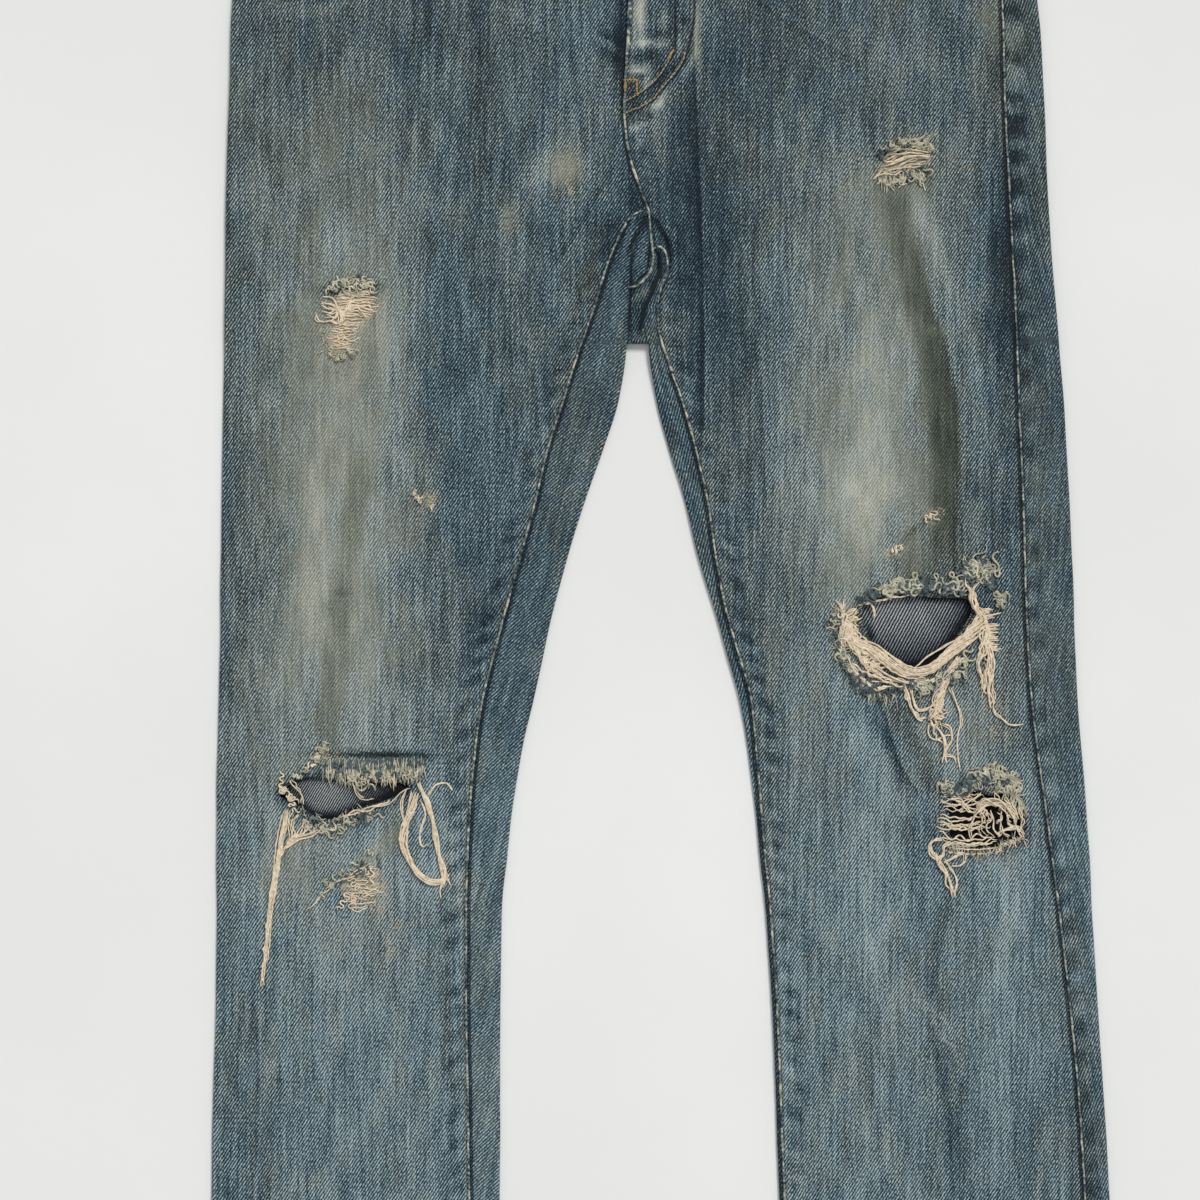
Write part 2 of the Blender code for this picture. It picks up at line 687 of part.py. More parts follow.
def make_belt_loops(look):
    """Two loops on the front of the waistband, and three on the back, under it."""
    half = LOOP_WIDTH / 2
    for name, x in (("right_front", -LOOP_X), ("left_front", LOOP_X)):
        low = float(band_edge(x))
        high = low + WAIST_Y - BAND_Y
        rests = float(front_height(x, low - LOOP_END)) + WALL + SEAM_GAP
        over = BAND_TOP_MIDDLE + (BAND_WALL + WALL) / 2 + SEAM_GAP
        bow = over + 0.4
        path = [(low - LOOP_END, rests), (low - 3, max(rests, over)), (low + 4, bow), (high - 4, bow)]
        path += [(high + 1, over)]
        points = [[(x - half, y, z), (x + half, y, z)] for y, z in path]
        sheet(f"{name}_belt_loop", [np.array(points)], look)
    for name, x in (("right_back", -BACK_LOOP_X), ("centre_back", 0), ("left_back", BACK_LOOP_X)):
        low, high = BAND_Y - LOOP_END, WAIST_Y + 1
        outline = [(x - half, low), (x + half, low), (x + half, high), (x - half, high)]
        prism(f"{name}_belt_loop", outline, 0, WALL, look)


def make_button(look):
    """The plain tack button on the lap of the waistband."""
    seat = BAND_TOP_MIDDLE + BAND_LAP_LIFT + BAND_WALL / 2 + SEAM_GAP
    profile = [(0, 0), (6, 0), (6, 0.8), (4, 1.0), (4, 1.7), (8, 1.9), (8.5, 2.5), (8, 3.2), (5.5, 3.6), (0, 3.3)]
    x = 3
    y = float(band_edge(x)) + (WAIST_Y - BAND_Y) / 2
    lathe("waist_button", x, y, [(r, seat + z) for r, z in profile], look)


def main():
    for old in list(bpy.data.objects):
        bpy.data.objects.remove(old)
    front = material("front_denim", DENIM)
    back = material("back_denim", DENIM_BACK)
    trim = material("trim_denim", DENIM_TRIM)
    facing = material("facing_denim", FACING_DENIM)
    brass = material("old_brass", OLD_BRASS, roughness=0.4, metallic=1.0)
    make_fronts(front)
    make_backs(back)
    make_yokes(back)
    make_pocket_facings(facing)
    make_back_pockets(trim)
    make_waistband(trim)
    make_belt_loops(trim)
    make_button(brass)


main()
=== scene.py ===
"""Looks of the ripped jeans: panels of worn denim, seams, stitches, rips and loose threads.

Lengths are in millimetres in the garment's own frame until a piece is made: x across the front (the
wearer's left is +x), y up from the crotch, z up from the surface that the jeans lie on. The solids have the
same form.
"""

from collections import namedtuple

import bmesh
import bpy
import numpy as np
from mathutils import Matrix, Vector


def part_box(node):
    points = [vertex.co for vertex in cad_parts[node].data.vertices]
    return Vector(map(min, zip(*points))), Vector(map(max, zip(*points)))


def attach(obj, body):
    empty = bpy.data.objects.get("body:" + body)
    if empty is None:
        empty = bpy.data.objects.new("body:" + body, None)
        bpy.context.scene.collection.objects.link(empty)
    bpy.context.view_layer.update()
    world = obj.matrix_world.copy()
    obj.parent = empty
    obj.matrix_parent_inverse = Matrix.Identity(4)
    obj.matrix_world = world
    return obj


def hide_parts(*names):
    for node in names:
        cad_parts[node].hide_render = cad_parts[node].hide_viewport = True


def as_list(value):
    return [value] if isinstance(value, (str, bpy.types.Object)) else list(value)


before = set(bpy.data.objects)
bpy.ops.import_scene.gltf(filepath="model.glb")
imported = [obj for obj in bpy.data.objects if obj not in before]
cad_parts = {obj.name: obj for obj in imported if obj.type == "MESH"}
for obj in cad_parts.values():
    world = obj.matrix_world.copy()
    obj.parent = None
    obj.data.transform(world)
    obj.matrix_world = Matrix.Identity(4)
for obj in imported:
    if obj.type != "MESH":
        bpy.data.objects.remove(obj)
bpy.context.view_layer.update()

MM = 0.001
BODY = "root"
POCKET_CORNER = (43.0, 135.0, 0.0)  # upper corner of the left back pocket, towards the middle
POCKET_LOW, POCKET_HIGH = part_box("left_back_pocket")
FRAME_CORNER = (round(POCKET_LOW[0], 4), round(POCKET_HIGH[1], 4), 0.0)

# The garment's sizes
WALL = 1.2
CLOTH = 0.9  # denim as it shows, without the room that its solid leaves for nap
BAND_CLOTH = 2.0
BAND_WALL = 2.2
SEAM_GAP = 0.5
HEM_Y = -810.0
HEM_TURN = 12.0
HEM_GAP = 3.4
CROTCH_Y = -82.5
BAND_Y = 210.0
WAIST_Y = 250.0
FRONT_DIP = 16.0
FRONT_DIP_REACH = 220.0
SEAT_LIFT = 1.5
LAYER_GAP = 0.5
OUTER_FOLD_GAP = 1.8
INNER_FOLD_GAP = 0.9
FOLD_REACH = 16.0
MOST_GAP = 3.7
FLY_LIFT = 1.2
FLY_WIDTH = 45.0
FLY_FOOT_Y = 67.0
POCKET_LIFT = 2.2
MOUTH_X = 245.0
MOUTH_WIDTH = 130.0
MOUTH_DEPTH = 63.0
BAND_LAYER_GAP = 0.8
BAND_MIDDLE = SEAT_LIFT + BAND_WALL / 2
BAND_TOP_MIDDLE = BAND_MIDDLE + BAND_WALL + BAND_LAYER_GAP
BAND_LAP = (-12, 18)
BAND_LAP_LIFT = 2.5
LOOP_X = 96.0
BACK_LOOP_X = 150.0
FACING_EDGE = 104.0
FACING_OVERLAP = 14.0
YOKE_CENTRE_Y = 150.0
YOKE_SLOPE = 0.135
PANEL_TOP_Y = 77.0  # above this line the rows of a panel lean towards its shaped upper edge
CELL = 2.55  # spacing of a panel's rows
FOLD_STEPS = 8  # points round each folded edge
FAR_MM = 20.0  # stands for any distance at which a seam or crease no longer shows
BETWEEN_LAYERS = 1.3  # above this a point is on the top layer
UNDERSIDE_TOP = 3.0  # whatever lies lower is part of the bottom layer
SAME_POINT = 0.00002
UNDERNEATH = ["right_yoke", "right_back_pocket", "left_back_pocket"]  # panels seen only from below
PITCH, STITCH = 3.4, 2.4  # of the common topstitching
ROWS = (2.0, 7.5)  # how far the two rows of topstitching lie from an edge
BUTTON_X = 3.0
SIDES = ("right", "left")

Station = namedtuple(
    "Station",
    "y right_outer right_turn right_inseam right_inner left_inner left_inseam left_outseam left_outer",
)
STATIONS = [Station(*row) for row in [
    (-810, -276, 20, -95, -80, 110, 114, 305, 322), (-720, -274, 22, -100, -83, 101, 103.4, 299, 316),
    (-638, -271.7, 24, -103.3, -84.5, 96.9, 99.3, 294.1, 311.4),
    (-573, -271, 24, -104.3, -83.9, 94.3, 96.7, 290.1, 308),
    (-508, -269, 24, -105.3, -83.8, 91.7, 94.1, 283.9, 303.6),
    (-443, -268.4, 24, -105.3, -82.5, 87.1, 89.5, 276.4, 299.7),
    (-411, -268.4, 24, -104.3, -79.3, 83.9, 86.3, 272.2, 298),
    (-378, -268.4, 23, -102.5, -75.4, 80.6, 83.6, 267.8, 295.8),
    (-346, -267.6, 22, -99.6, -70.2, 76.7, 80.9, 263.3, 293),
    (-313, -267, 21, -94.7, -62.4, 70.9, 77.6, 259.5, 290.6),
    (-281, -266.4, 20, -86.7, -55.2, 61.8, 68.6, 257.2, 289.3),
    (-248, -265.9, 19, -78, -48, 52.7, 59.7, 255.7, 288),
    (-216, -265.5, 18, -69, -39, 42.9, 54, 254.8, 286.8),
    (-183, -265.2, 17, -60.2, -28.6, 35.1, 49.1, 254, 285.4),
    (-151, -264.6, 16, -52.6, -17.5, 25.4, 41.8, 252.6, 283.4),
    (-118, -264, 14, -42.2, -7.2, 16.9, 32.4, 251.2, 281.5),
    (-82.5, -263.3, 12, -31, -2, 11.7, 20.8, 249.8, 278.4),
    (-53, -262.6, 10, -21.2, -2, 11.7, 18.6, 248.4, 275.6), (12, -262, 7, 9, -2, 11.7, 14, 244.9, 271),
    (77, -260, 5, 9, -2, 11.7, 14, 241.8, 268.5), (142, -258, 5, 9, -2, 11.7, 14, 239.9, 264),
    (210, -238, 5, 9, -2, 11.7, 14, 221, 243), (250, -229, 5, 9, -2, 11.7, 14, 212, 233),
]]

# The seams that meet at the crotch, and the edges of the two backs, which stand over the cloth between them
Crotch = namedtuple("Crotch", "y right_inseam fold_edge seat_seam strip_edge left_inseam")
CROTCH = [Crotch(*row) for row in [
    (-82.5, -31, -2.4, 0.5, 9.6, 20.8), (-76, -28.2, -2, 0.5, 7.2, 19.2),
    (-69, -25.9, -1.6, 0.5, 7.4, 18.3), (-60, -22.8, -1.2, 0.5, 9.6, 18.2),
    (-52, -20.2, -0.9, 0.5, 12.4, 19.6), (-45, -18.2, -0.6, 4, 15.2, 22.2),
    (-40, -16.6, -0.4, 8, 17.2, 24.4), (-33, -14.4, 0, 11.4, 19.2, 25.8),
    (-27, -12.2, 0.6, 12.4, 19.3, 26.2), (-20, -9.2, 1.6, 12.8, 16.6, 25), (-10, -4.6, 5, 13, 15, 21.4),
    (0, 1.6, 9, 12.6, 14.4, 16),
]]

Centre = namedtuple("Centre", "y x")
CENTRE = [Centre(*row) for row in [
    (3, 11.6), (20, 5.2), (37, -0.6), (52, -3.2), (67, -4.5), (88, -3.9), (115, -2), (142, -0.6), (210, 2),
]]

# The widest creases, which the solids have too.
Crease = namedtuple("Crease", "x0 y0 x1 y1 height width")
WIDE_CREASES = [Crease(*row) for row in [
    # Right leg
    (-222, 122, -120, 66, 1, 16), (-128, 125, -166, -90, 1.5, 20), (-166, -90, -204, -338, 1.3, 18),
    (-246, -398, -150, -436, 1.2, 16), (-236, -480, -232, -646, 1.2, 15), (-236, -700, -130, -744, 1.3, 22),
    # Left leg
    (62, 70, 60, -138, 1.2, 13), (212, 116, 122, 70, 1, 16), (160, 24, 190, -84, 1.6, 17),
    (190, -84, 206, -236, 1.6, 17), (150, -302, 184, -368, 1.9, 14), (200, -318, 216, -364, 1.2, 11),
    (206, -426, 196, -509, 1.4, 15), (196, -509, 208, -606, 1.4, 15), (142, -690, 250, -736, 1.5, 22),
]]

# Narrower creases of the top layer. A height below zero is a trough.
FINE_CREASES = [Crease(*row) for row in [
    # Right leg
    (-146, 60, -156, -60, -0.9, 7), (-122, 30, -140, -120, 0.8, 8), (-182, -160, -186, -300, 0.7, 7),
    (-60, 136, -100, 108, 0.7, 6), (-40, 66, -104, 34, 0.6, 7), (-14, 20, -66, -44, 0.7, 7),
    (-214, -400, -246, -470, 0.7, 8), (-150, -398, -120, -450, 0.7, 9), (-160, -480, -150, -640, 0.6, 12),
    (-246, -500, -243, -630, -0.6, 6), (-220, -770, -140, -762, 0.7, 10),
    # Left leg
    (46, 84, 45, -140, -1, 6), (45, -140, 52, -186, -0.5, 6), (30, 60, 33, -60, 0.9, 8),
    (30, 6, 78, -30, 0.7, 8), (90, 132, 140, 104, 0.6, 7), (174, 14, 184, -46, -1.1, 6),
    (186, -50, 196, -120, -1, 6), (196, -10, 208, -130, 1.1, 7), (168, -196, 178, -232, -0.9, 5),
    (158, -306, 172, -352, -1.3, 5), (186, -330, 202, -376, 1.2, 5), (226, -420, 238, -470, 0.9, 7),
    (212, -436, 203, -500, -0.9, 6), (203, -505, 214, -580, -0.9, 6), (190, -505, 222, -556, 0.8, 4),
    (130, -440, 120, -600, 0.6, 12), (140, -765, 240, -772, 0.7, 10),
]]

# Outlines of the rips; curl_height lifts the cloth round their edges.
RIPS = {
    "right_knee": [
        (-227, -375), (-221, -368), (-212, -364), (-196, -364), (-178, -365), (-160, -367), (-143, -368),
        (-148, -373), (-158, -378), (-170, -382), (-181, -386), (-190, -390), (-200, -390), (-208, -387),
        (-214, -382), (-221, -379),
    ],
    "left_knee": [
        (151, -252), (157, -248), (168, -246), (182, -245), (196, -247), (210, -247), (220, -249),
        (221, -256), (216, -265), (209, -275), (202, -283), (195, -289), (185, -292), (174, -291),
        (165, -286), (158, -278), (153, -268), (150, -260),
    ],
    "left_shin": [
        (206, -383), (213, -376), (223, -372), (233, -375), (243, -374), (251, -381), (254, -391),
        (254, -400), (248, -406), (241, -410), (232, -408), (224, -409), (215, -404), (207, -401),
        (209, -393),
    ],
}


# Curves, fields and heights


def table_curve(knots, values, y):
    """Values at y on a smooth curve through the knots that never overshoots them."""
    y = np.clip(y, knots[0], knots[-1])
    steps = np.diff(knots)
    rates = np.diff(values) / steps
    slopes = np.zeros(len(knots))
    slopes[0] = rates[0]
    slopes[-1] = rates[-1]
    same = rates[:-1] * rates[1:] > 0
    total = np.where(same, rates[:-1] + rates[1:], 1.0)
    slopes[1:-1] = np.where(same, 2 * rates[:-1] * rates[1:] / total, 0.0)
    at = np.clip(np.searchsorted(knots, y) - 1, 0, len(steps) - 1)
    t = (y - knots[at]) / steps[at]
    ease = t * t * (3 - 2 * t)
    start = t * (1 - t) ** 2 * steps[at] * slopes[at]
    end = t * t * (t - 1) * steps[at] * slopes[at + 1]
    return values[at] + (values[at + 1] - values[at]) * ease + start + end


def curve(table, column, y):
    knots = np.array([row.y for row in table], float)
    values = np.array([getattr(row, column) for row in table], float)
    return table_curve(knots, values, np.asarray(y, float))


def ramp(value, start, end):
    t = np.clip((value - start) / (end - start), 0, 1)
    return t * t * (3 - 2 * t)


def field(x, y, size, seed, size_y=None):
    """A smooth random field from -1 to 1, with features about as wide as size and as tall as size_y."""
    gx, gy = x / size, y / (size_y or size)
    ix, iy = np.floor(gx), np.floor(gy)
    fx, fy = gx - ix, gy - iy
    fx, fy = fx * fx * (3 - 2 * fx), fy * fy * (3 - 2 * fy)

    def corner(a, b):
        value = np.sin(a * 127.1 + b * 311.7 + seed * 74.7) * 43758.5453
        return value - np.floor(value)

    low = corner(ix, iy) * (1 - fx) + corner(ix + 1, iy) * fx
    high = corner(ix, iy + 1) * (1 - fx) + corner(ix + 1, iy + 1) * fx
    return 2 * (low * (1 - fy) + high * fy) - 1


def bell(away, width):
    """1 in the middle, with a soft fall to nothing at about twice the width."""
    return np.exp(-((away / width) ** 2))


def close_to(points, reach, x, y):
    """Which places lie inside the box round some points, or within reach of it."""
    low, high = points.min(axis=0) - reach, points.max(axis=0) + reach
    return (x > low[0]) & (x < high[0]) & (y > low[1]) & (y < high[1])


def smooth_path(points, step, closed=False):
    """Points every step along a curve through the given ones."""
    points = np.array(points, float)
    if closed:
        points = np.concatenate([points[-2:], points, points[:2]])
    run = run_along(points)
    slopes = np.gradient(points, run, axis=0)
    first, last = (run[2], run[-2]) if closed else (0, run[-1])
    count = max(int(np.ceil((last - first) / step)), 2)
    s = np.linspace(first, last, count + 1)
    at = np.clip(np.searchsorted(run, s, side="right") - 1, 0, len(run) - 2)
    gap = (run[at + 1] - run[at])[:, None]
    t = (s - run[at])[:, None] / gap
    a, b = points[at], points[at + 1]
    return (
        (1 + 2 * t) * (1 - t) ** 2 * a
        + t * (1 - t) ** 2 * gap * slopes[at]
        + t * t * (3 - 2 * t) * b
        + t * t * (t - 1) * gap * slopes[at + 1]
    )


def hem_share(y):
    return 1 - ramp(y, HEM_Y + HEM_TURN + 4, HEM_Y + 60)


def fold_gap(kind, y):
    gap = OUTER_FOLD_GAP if kind == "outer" else INNER_FOLD_GAP
    return gap + (HEM_GAP - gap) * hem_share(y)


def fold_radius(kind, y):
    return (fold_gap(kind, y) + WALL) / 2


def fold_direction(side, kind):
    outward = -1 if side == "right" else 1
    return outward if kind == "outer" else -outward


def fold_centre(side, kind, y):
    edge = curve(STATIONS, f"{side}_{kind}", y)
    return edge - fold_direction(side, kind) * (fold_radius(kind, y) + WALL / 2)


def under_height(y):
    return WALL / 2 + SEAT_LIFT * ramp(y, -118, -66)


def crotch_line():
    return CROTCH_Y + fold_radius("inner", CROTCH_Y) + WALL / 2


def fold_shares(x, y):
    outer = np.minimum(*(np.abs(x - fold_centre(side, "outer", y)) for side in SIDES))
    low_right = fold_centre("right", "inner", y)
    low_left = fold_centre("left", "inner", y)
    below = np.minimum(np.abs(x - low_right), np.abs(x - low_left))
    past = np.maximum(np.maximum(low_right - x, x - low_left), 0)
    inner = np.where(y < crotch_line(), below, np.hypot(past, y - crotch_line()))
    return bell(outer, FOLD_REACH), bell(inner, FOLD_REACH)


def crease_height(creases, x, y):
    total = np.zeros(np.broadcast(x, y).shape)
    for crease in creases:
        run_x, run_y = crease.x1 - crease.x0, crease.y1 - crease.y0
        length = np.hypot(run_x, run_y)
        along = ((x - crease.x0) * run_x + (y - crease.y0) * run_y) / length
        across = ((x - crease.x0) * run_y - (y - crease.y0) * run_x) / length
        ends = ramp(along, -0.15 * length, 0.2 * length) * (1 - ramp(along, 0.8 * length, 1.15 * length))
        total += crease.height * ends * bell(across, crease.width)
    return total


def plain_height(x, y):
    """Middle of the top layer, as the solids have it."""
    outer, inner = fold_shares(x, y)
    share = np.clip(outer + inner, 0, 1)
    at_fold = (outer * fold_gap("outer", y) + inner * fold_gap("inner", y)) / np.maximum(outer + inner, 1e-9)
    flat = LAYER_GAP + crease_height(WIDE_CREASES, x, y)
    gap = np.minimum(flat + (at_fold - flat) * share, MOST_GAP)
    gap = gap + (HEM_GAP - gap) * hem_share(y)
    return under_height(y) + WALL + gap


def run_along(points):
    """Length of a path from its start to each of its points."""
    return np.concatenate([[0], np.cumsum(np.linalg.norm(np.diff(points, axis=0), axis=1))])


def inseam_at(side, y):
    """Where an inseam runs: down the leg, and up its own way at the crotch."""
    column = f"{side}_inseam"
    return np.where(y < CROTCH_Y, curve(STATIONS, column, y), curve(CROTCH, column, y))


def seam_field(side, x, y):
    """(distance from the inseam towards the front, phase of the puckers along it)."""
    lean = 0.93  # the seam runs at a slant
    across = inseam_at(side, y) - x
    away = (across if side == "right" else -across) * lean
    phase = y / 15.5 + 0.35 * field(y, 0 * y, 38, 5) + away * (0.035 if side == "right" else 0.03)
    return away, phase * 2 * np.pi


def outseam_field(x, y):
    away = x - curve(STATIONS, "left_outseam", y)
    phase = y / 21 + 0.3 * field(y, 0 * y, 46, 9) - away * 0.02
    return away, phase * 2 * np.pi


def pucker_height(x, y):
    """Seam allowances and the puckers that washing draws into them."""
    total = np.zeros(np.broadcast(x, y).shape)
    low = 1 - ramp(y, -8, 6)
    for side in SIDES:
        away, phase = seam_field(side, x, y)
        layered = 0.55 * ramp(away, -1.5, 0) * (1 - ramp(away, 10, 13))
        drawn = 0.45 * np.sin(phase) * bell(away - 7, 7)
        total += (layered + drawn) * low
    away, phase = outseam_field(x, y)
    layered = 0.5 * ramp(away, -1, 0.5) * (1 - ramp(away, 9, 12))
    drawn = 0.4 * np.sin(phase) * bell(away - 5, 6)
    total += (layered + drawn) * (1 - ramp(y, 120, 150))
    centre = x - curve(CENTRE, "x", y)
    total += 0.5 * ramp(y, 2, 8) * (1 - ramp(np.abs(centre - 4), 6, 9))
    return total


def crotch_lift(x, y):
    """The bulk where the seams meet holds the cloth up round the seat."""
    return 3.6 * np.exp(-(((x - 12) / 36) ** 2 + ((y + 40) / 56) ** 2))


def rip_edges():
    return {name: smooth_path(points, 1.0, closed=True) for name, points in RIPS.items()}


EDGES = rip_edges()


def inside(outline, x, y):
    """Whether each point is inside a closed outline."""
    found = np.zeros(x.shape, bool)
    for (x0, y0), (x1, y1) in zip(outline, np.roll(outline, -1, axis=0)):
        crossing = (y0 > y) != (y1 > y)
        reach = np.where(crossing, (x1 - x0) * (y - y0) / (y1 - y0 + 1e-12) + x0, 0)
        found ^= crossing & (x < reach)
    return found


def nearest(outline, x, y):
    """(distance, nearest point) from each point to an outline's points."""
    gaps = (x[..., None] - outline[:, 0]) ** 2 + (y[..., None] - outline[:, 1]) ** 2
    best = gaps.argmin(axis=-1)
    return np.sqrt(np.take_along_axis(gaps, best[..., None], -1)[..., 0]), outline[best]


def curl_height(x, y):
    """The cloth lifts a little round each rip."""
    total = np.zeros(np.broadcast(x, y).shape)
    for number, outline in enumerate(EDGES.values()):
        near = close_to(outline, 22, x, y)
        if near.any():
            gap, _ = nearest(outline[::2], x[near], y[near])
            lift = 1.3 + 0.7 * field(x[near], y[near], 14, number)
            total[near] += lift * bell(gap, 6)
    return total


def cloth_height(x, y):
    """Middle of the top layer with every crease."""
    x, y = np.broadcast_arrays(np.asarray(x, float), np.asarray(y, float))
    outer, _ = fold_shares(x, y)
    free = (1 - outer) * (1 - hem_share(y))
    soft = 0.45 * field(x, y, 70, 1, 120) + 0.22 * field(x, y, 26, 2, 44) + 0.12 * field(x, y, 11, 3, 15)
    fine = crease_height(FINE_CREASES, x, y)
    detail = (soft + fine) * free
    height = plain_height(x, y)
    room = height - under_height(y) - WALL
    detail = np.maximum(detail, -room)
    return height + detail + pucker_height(x, y) + crotch_lift(x, y) + curl_height(x, y)


def mouth_share(x, y):
    across = np.maximum(MOUTH_X - np.abs(x), 0) / MOUTH_WIDTH
    return np.hypot(across, (BAND_Y - y) / MOUTH_DEPTH)


def side_line(x, y):
    right = x - fold_centre("right", "outer", y)
    left = curve(STATIONS, "left_outseam", y) - x
    return np.where(x < 0, right, left)


def front_height(x, y):
    fly = ramp(y, FLY_FOOT_Y - 12, FLY_FOOT_Y + 14) * (1 - ramp(x, FLY_WIDTH - 6, FLY_WIDTH + 10))
    over_fly = np.where(x > curve(CENTRE, "x", y) - 0.2, fly, 0)
    over_facing = 1 - ramp(mouth_share(x, y), 1.25, 1.75)
    over_facing = over_facing * ramp(side_line(x, y), 3, 26)
    return cloth_height(x, y) + FLY_LIFT * over_fly + POCKET_LIFT * over_facing


SEAT_WELT = [
    (12.2, 1.6), (13.0, -8), (14.0, -18), (14.8, -26.4), (13.5, -34.5), (9.3, -41), (3.6, -45.2),
    (-1.4, -46.4),
]
SEAT_FOLD = [(-0.6, -44), (0.0, -33), (1.4, -20), (5.0, -10), (9.0, -1)]
LEFT_LOOP = [
    (15.0, -20.8), (18.2, -20.0), (21.6, -22.0), (24.2, -28.6), (23.8, -36), (20.6, -44.6), (18.2, -54.6),
    (17.9, -66), (19.4, -77.5), (23.0, -89), (27.4, -101),
]
LOOP_GROOVE = [(16.6, -23.8), (19.4, -24.6), (21.4, -29.2), (20.8, -36.2), (17.2, -44.6), (14.8, -54)]


def welt(path, x, y, width):
    gap, _ = nearest(smooth_path(path, 1.0), x, y)
    return bell(gap, width)


def seat_height(x, y):
    """The seat lies deep between the legs, as a rounded fold with a welt; the legs' edges stand over it."""
    x, y = np.broadcast_arrays(np.asarray(x, float), np.asarray(y, float))
    height = cloth_height(x, y).copy()
    near = (x > -12) & (x < 34) & (y > CROTCH_Y - 8) & (y < 8)
    if not near.any():
        return height
    px, py = x[near], y[near]
    past_right = ramp(px - curve(CROTCH, "fold_edge", py), -0.5, 0.4)
    before_left = 1 - ramp(px - curve(CROTCH, "strip_edge", py), -0.4, 0.5)
    deep = past_right * before_left * ramp(py, crotch_line() - 1, crotch_line() + 7)
    sunk = np.maximum(cloth_height(px, py) - under_height(py) - WALL - 0.8, 0)
    rim = smooth_path(SEAT_WELT + SEAT_FOLD, 1.0, closed=True)
    gap, _ = nearest(rim, px, py)
    bulge = np.where(inside(rim, px, py), np.sqrt(ramp(gap, 0, 4.5)), 0)
    raised = sunk * np.maximum(0.72 * bulge, 0.86 * welt(SEAT_WELT, px, py, 1.5))
    loop = 1.1 * welt(LEFT_LOOP, px, py, 1.5) - 0.8 * welt(LOOP_GROOVE, px, py, 0.9)
    height[near] += -deep * np.maximum(sunk - raised, 0) + loop * (1 - deep)
    return height


def band_edge(x):
    return BAND_Y - FRONT_DIP * np.cos(np.clip(x / FRONT_DIP_REACH, -1, 1) * np.pi / 2) ** 2


def front_top(x):
    across = np.clip((MOUTH_X - np.abs(x)) / MOUTH_WIDTH, 0, 1)
    mouth = BAND_Y - MOUTH_DEPTH * np.sqrt(1 - across**2)
    return np.minimum(band_edge(x), mouth) - SEAM_GAP


def yoke_seam(x):
    return YOKE_CENTRE_Y + YOKE_SLOPE * np.abs(x)


# Strips of a panel, as in the solids, with many more points


Strip = namedtuple("Strip", "kind side start end steps")


def strip_points(strip, y, inset, height):
    share = np.linspace(0, 1, strip.steps + 1)[None, :]
    if strip.kind in ("top", "under"):
        x = strip.start(y) + (strip.end(y) - strip.start(y)) * share
        z = height(x, y) - inset if strip.kind == "top" else under_height(y) + inset
        return np.stack([x, y, z], axis=-1)
    angle = strip.start + (strip.end - strip.start) * share
    outward = fold_direction(strip.side, strip.kind)
    radius = fold_radius(strip.kind, y)
    centre = fold_centre(strip.side, strip.kind, y)
    half = (height(centre, y) - under_height(y)) / 2
    wave = 0.35 * field(y, 0 * y, 30, 7) * np.sin(angle)
    x = centre + outward * ((radius - inset) * np.sin(angle) + wave)
    z = under_height(y) + half + (half - inset) * np.cos(angle)
    return np.stack([x, y, z], axis=-1)


def grid(strips, rows, inset=0.0, height=cloth_height):
    shares, height_of_row = rows
    parts = []
    for strip in strips:
        share = np.array(shares, float)[:, None] + np.zeros(strip.steps + 1)
        y = np.full(share.shape, BAND_Y - MOUTH_DEPTH)
        for _ in range(4):
            x = strip_points(strip, y, 0.0, flat_height)[:, :, 0]
            y = height_of_row(x, share)
        points = strip_points(strip, y, inset, height)
        parts.append(points if not parts else points[:, 1:])
    return np.concatenate(parts, axis=1)


def flat_height(x, y):
    return 0 * (x + y)


def level(heights):
    return heights, lambda x, height: height + 0 * x


def between(low, high, steps, first=0):
    return np.linspace(0, 1, steps + 1)[first:], lambda x, share: low(x) + (high(x) - low(x)) * share


def rows_from(low, high, step=CELL):
    return list(np.linspace(low, high, max(int(round((high - low) / step)), 1) + 1))


def hem_grid(strips):
    turn = (WALL + 0.3) / 2
    lowest = HEM_Y + WALL / 2
    parts = [
        ([HEM_Y + HEM_TURN, lowest + turn], 2 * turn), ([lowest + 0.3 * turn], 1.7 * turn), ([lowest], turn),
        ([lowest + 0.3 * turn], 0.3 * turn), (rows_from(lowest + turn, HEM_Y + HEM_TURN + 3), 0.0),
    ]
    return np.concatenate([grid(strips, level(rows), inset=inset) for rows, inset in parts])


def seam(table, column, shift):
    return lambda y: curve(table, column, y) + shift * SEAM_GAP / 2


def inner_seam(side, shift):
    return lambda y: np.where(y <= 0, inseam_at(side, y), curve(CENTRE, "x", y)) + shift * SEAM_GAP / 2


def right_turn(shift):
    turned = shift * SEAM_GAP / 2
    return lambda y: curve(STATIONS, "right_outer", y) + curve(STATIONS, "right_turn", y) + turned


def centre_of(side, kind):
    return lambda y: fold_centre(side, kind, y)


def at(x):
    return lambda y: x + 0 * y


# Fading, wear and painted shade. Each stroke lightens or darkens a soft patch. turn is in degrees from
# upright.


Stroke = namedtuple("Stroke", "x y width length turn fade olive", defaults=[0.0])


def strokes(rows):
    return [Stroke(*row) for row in rows]


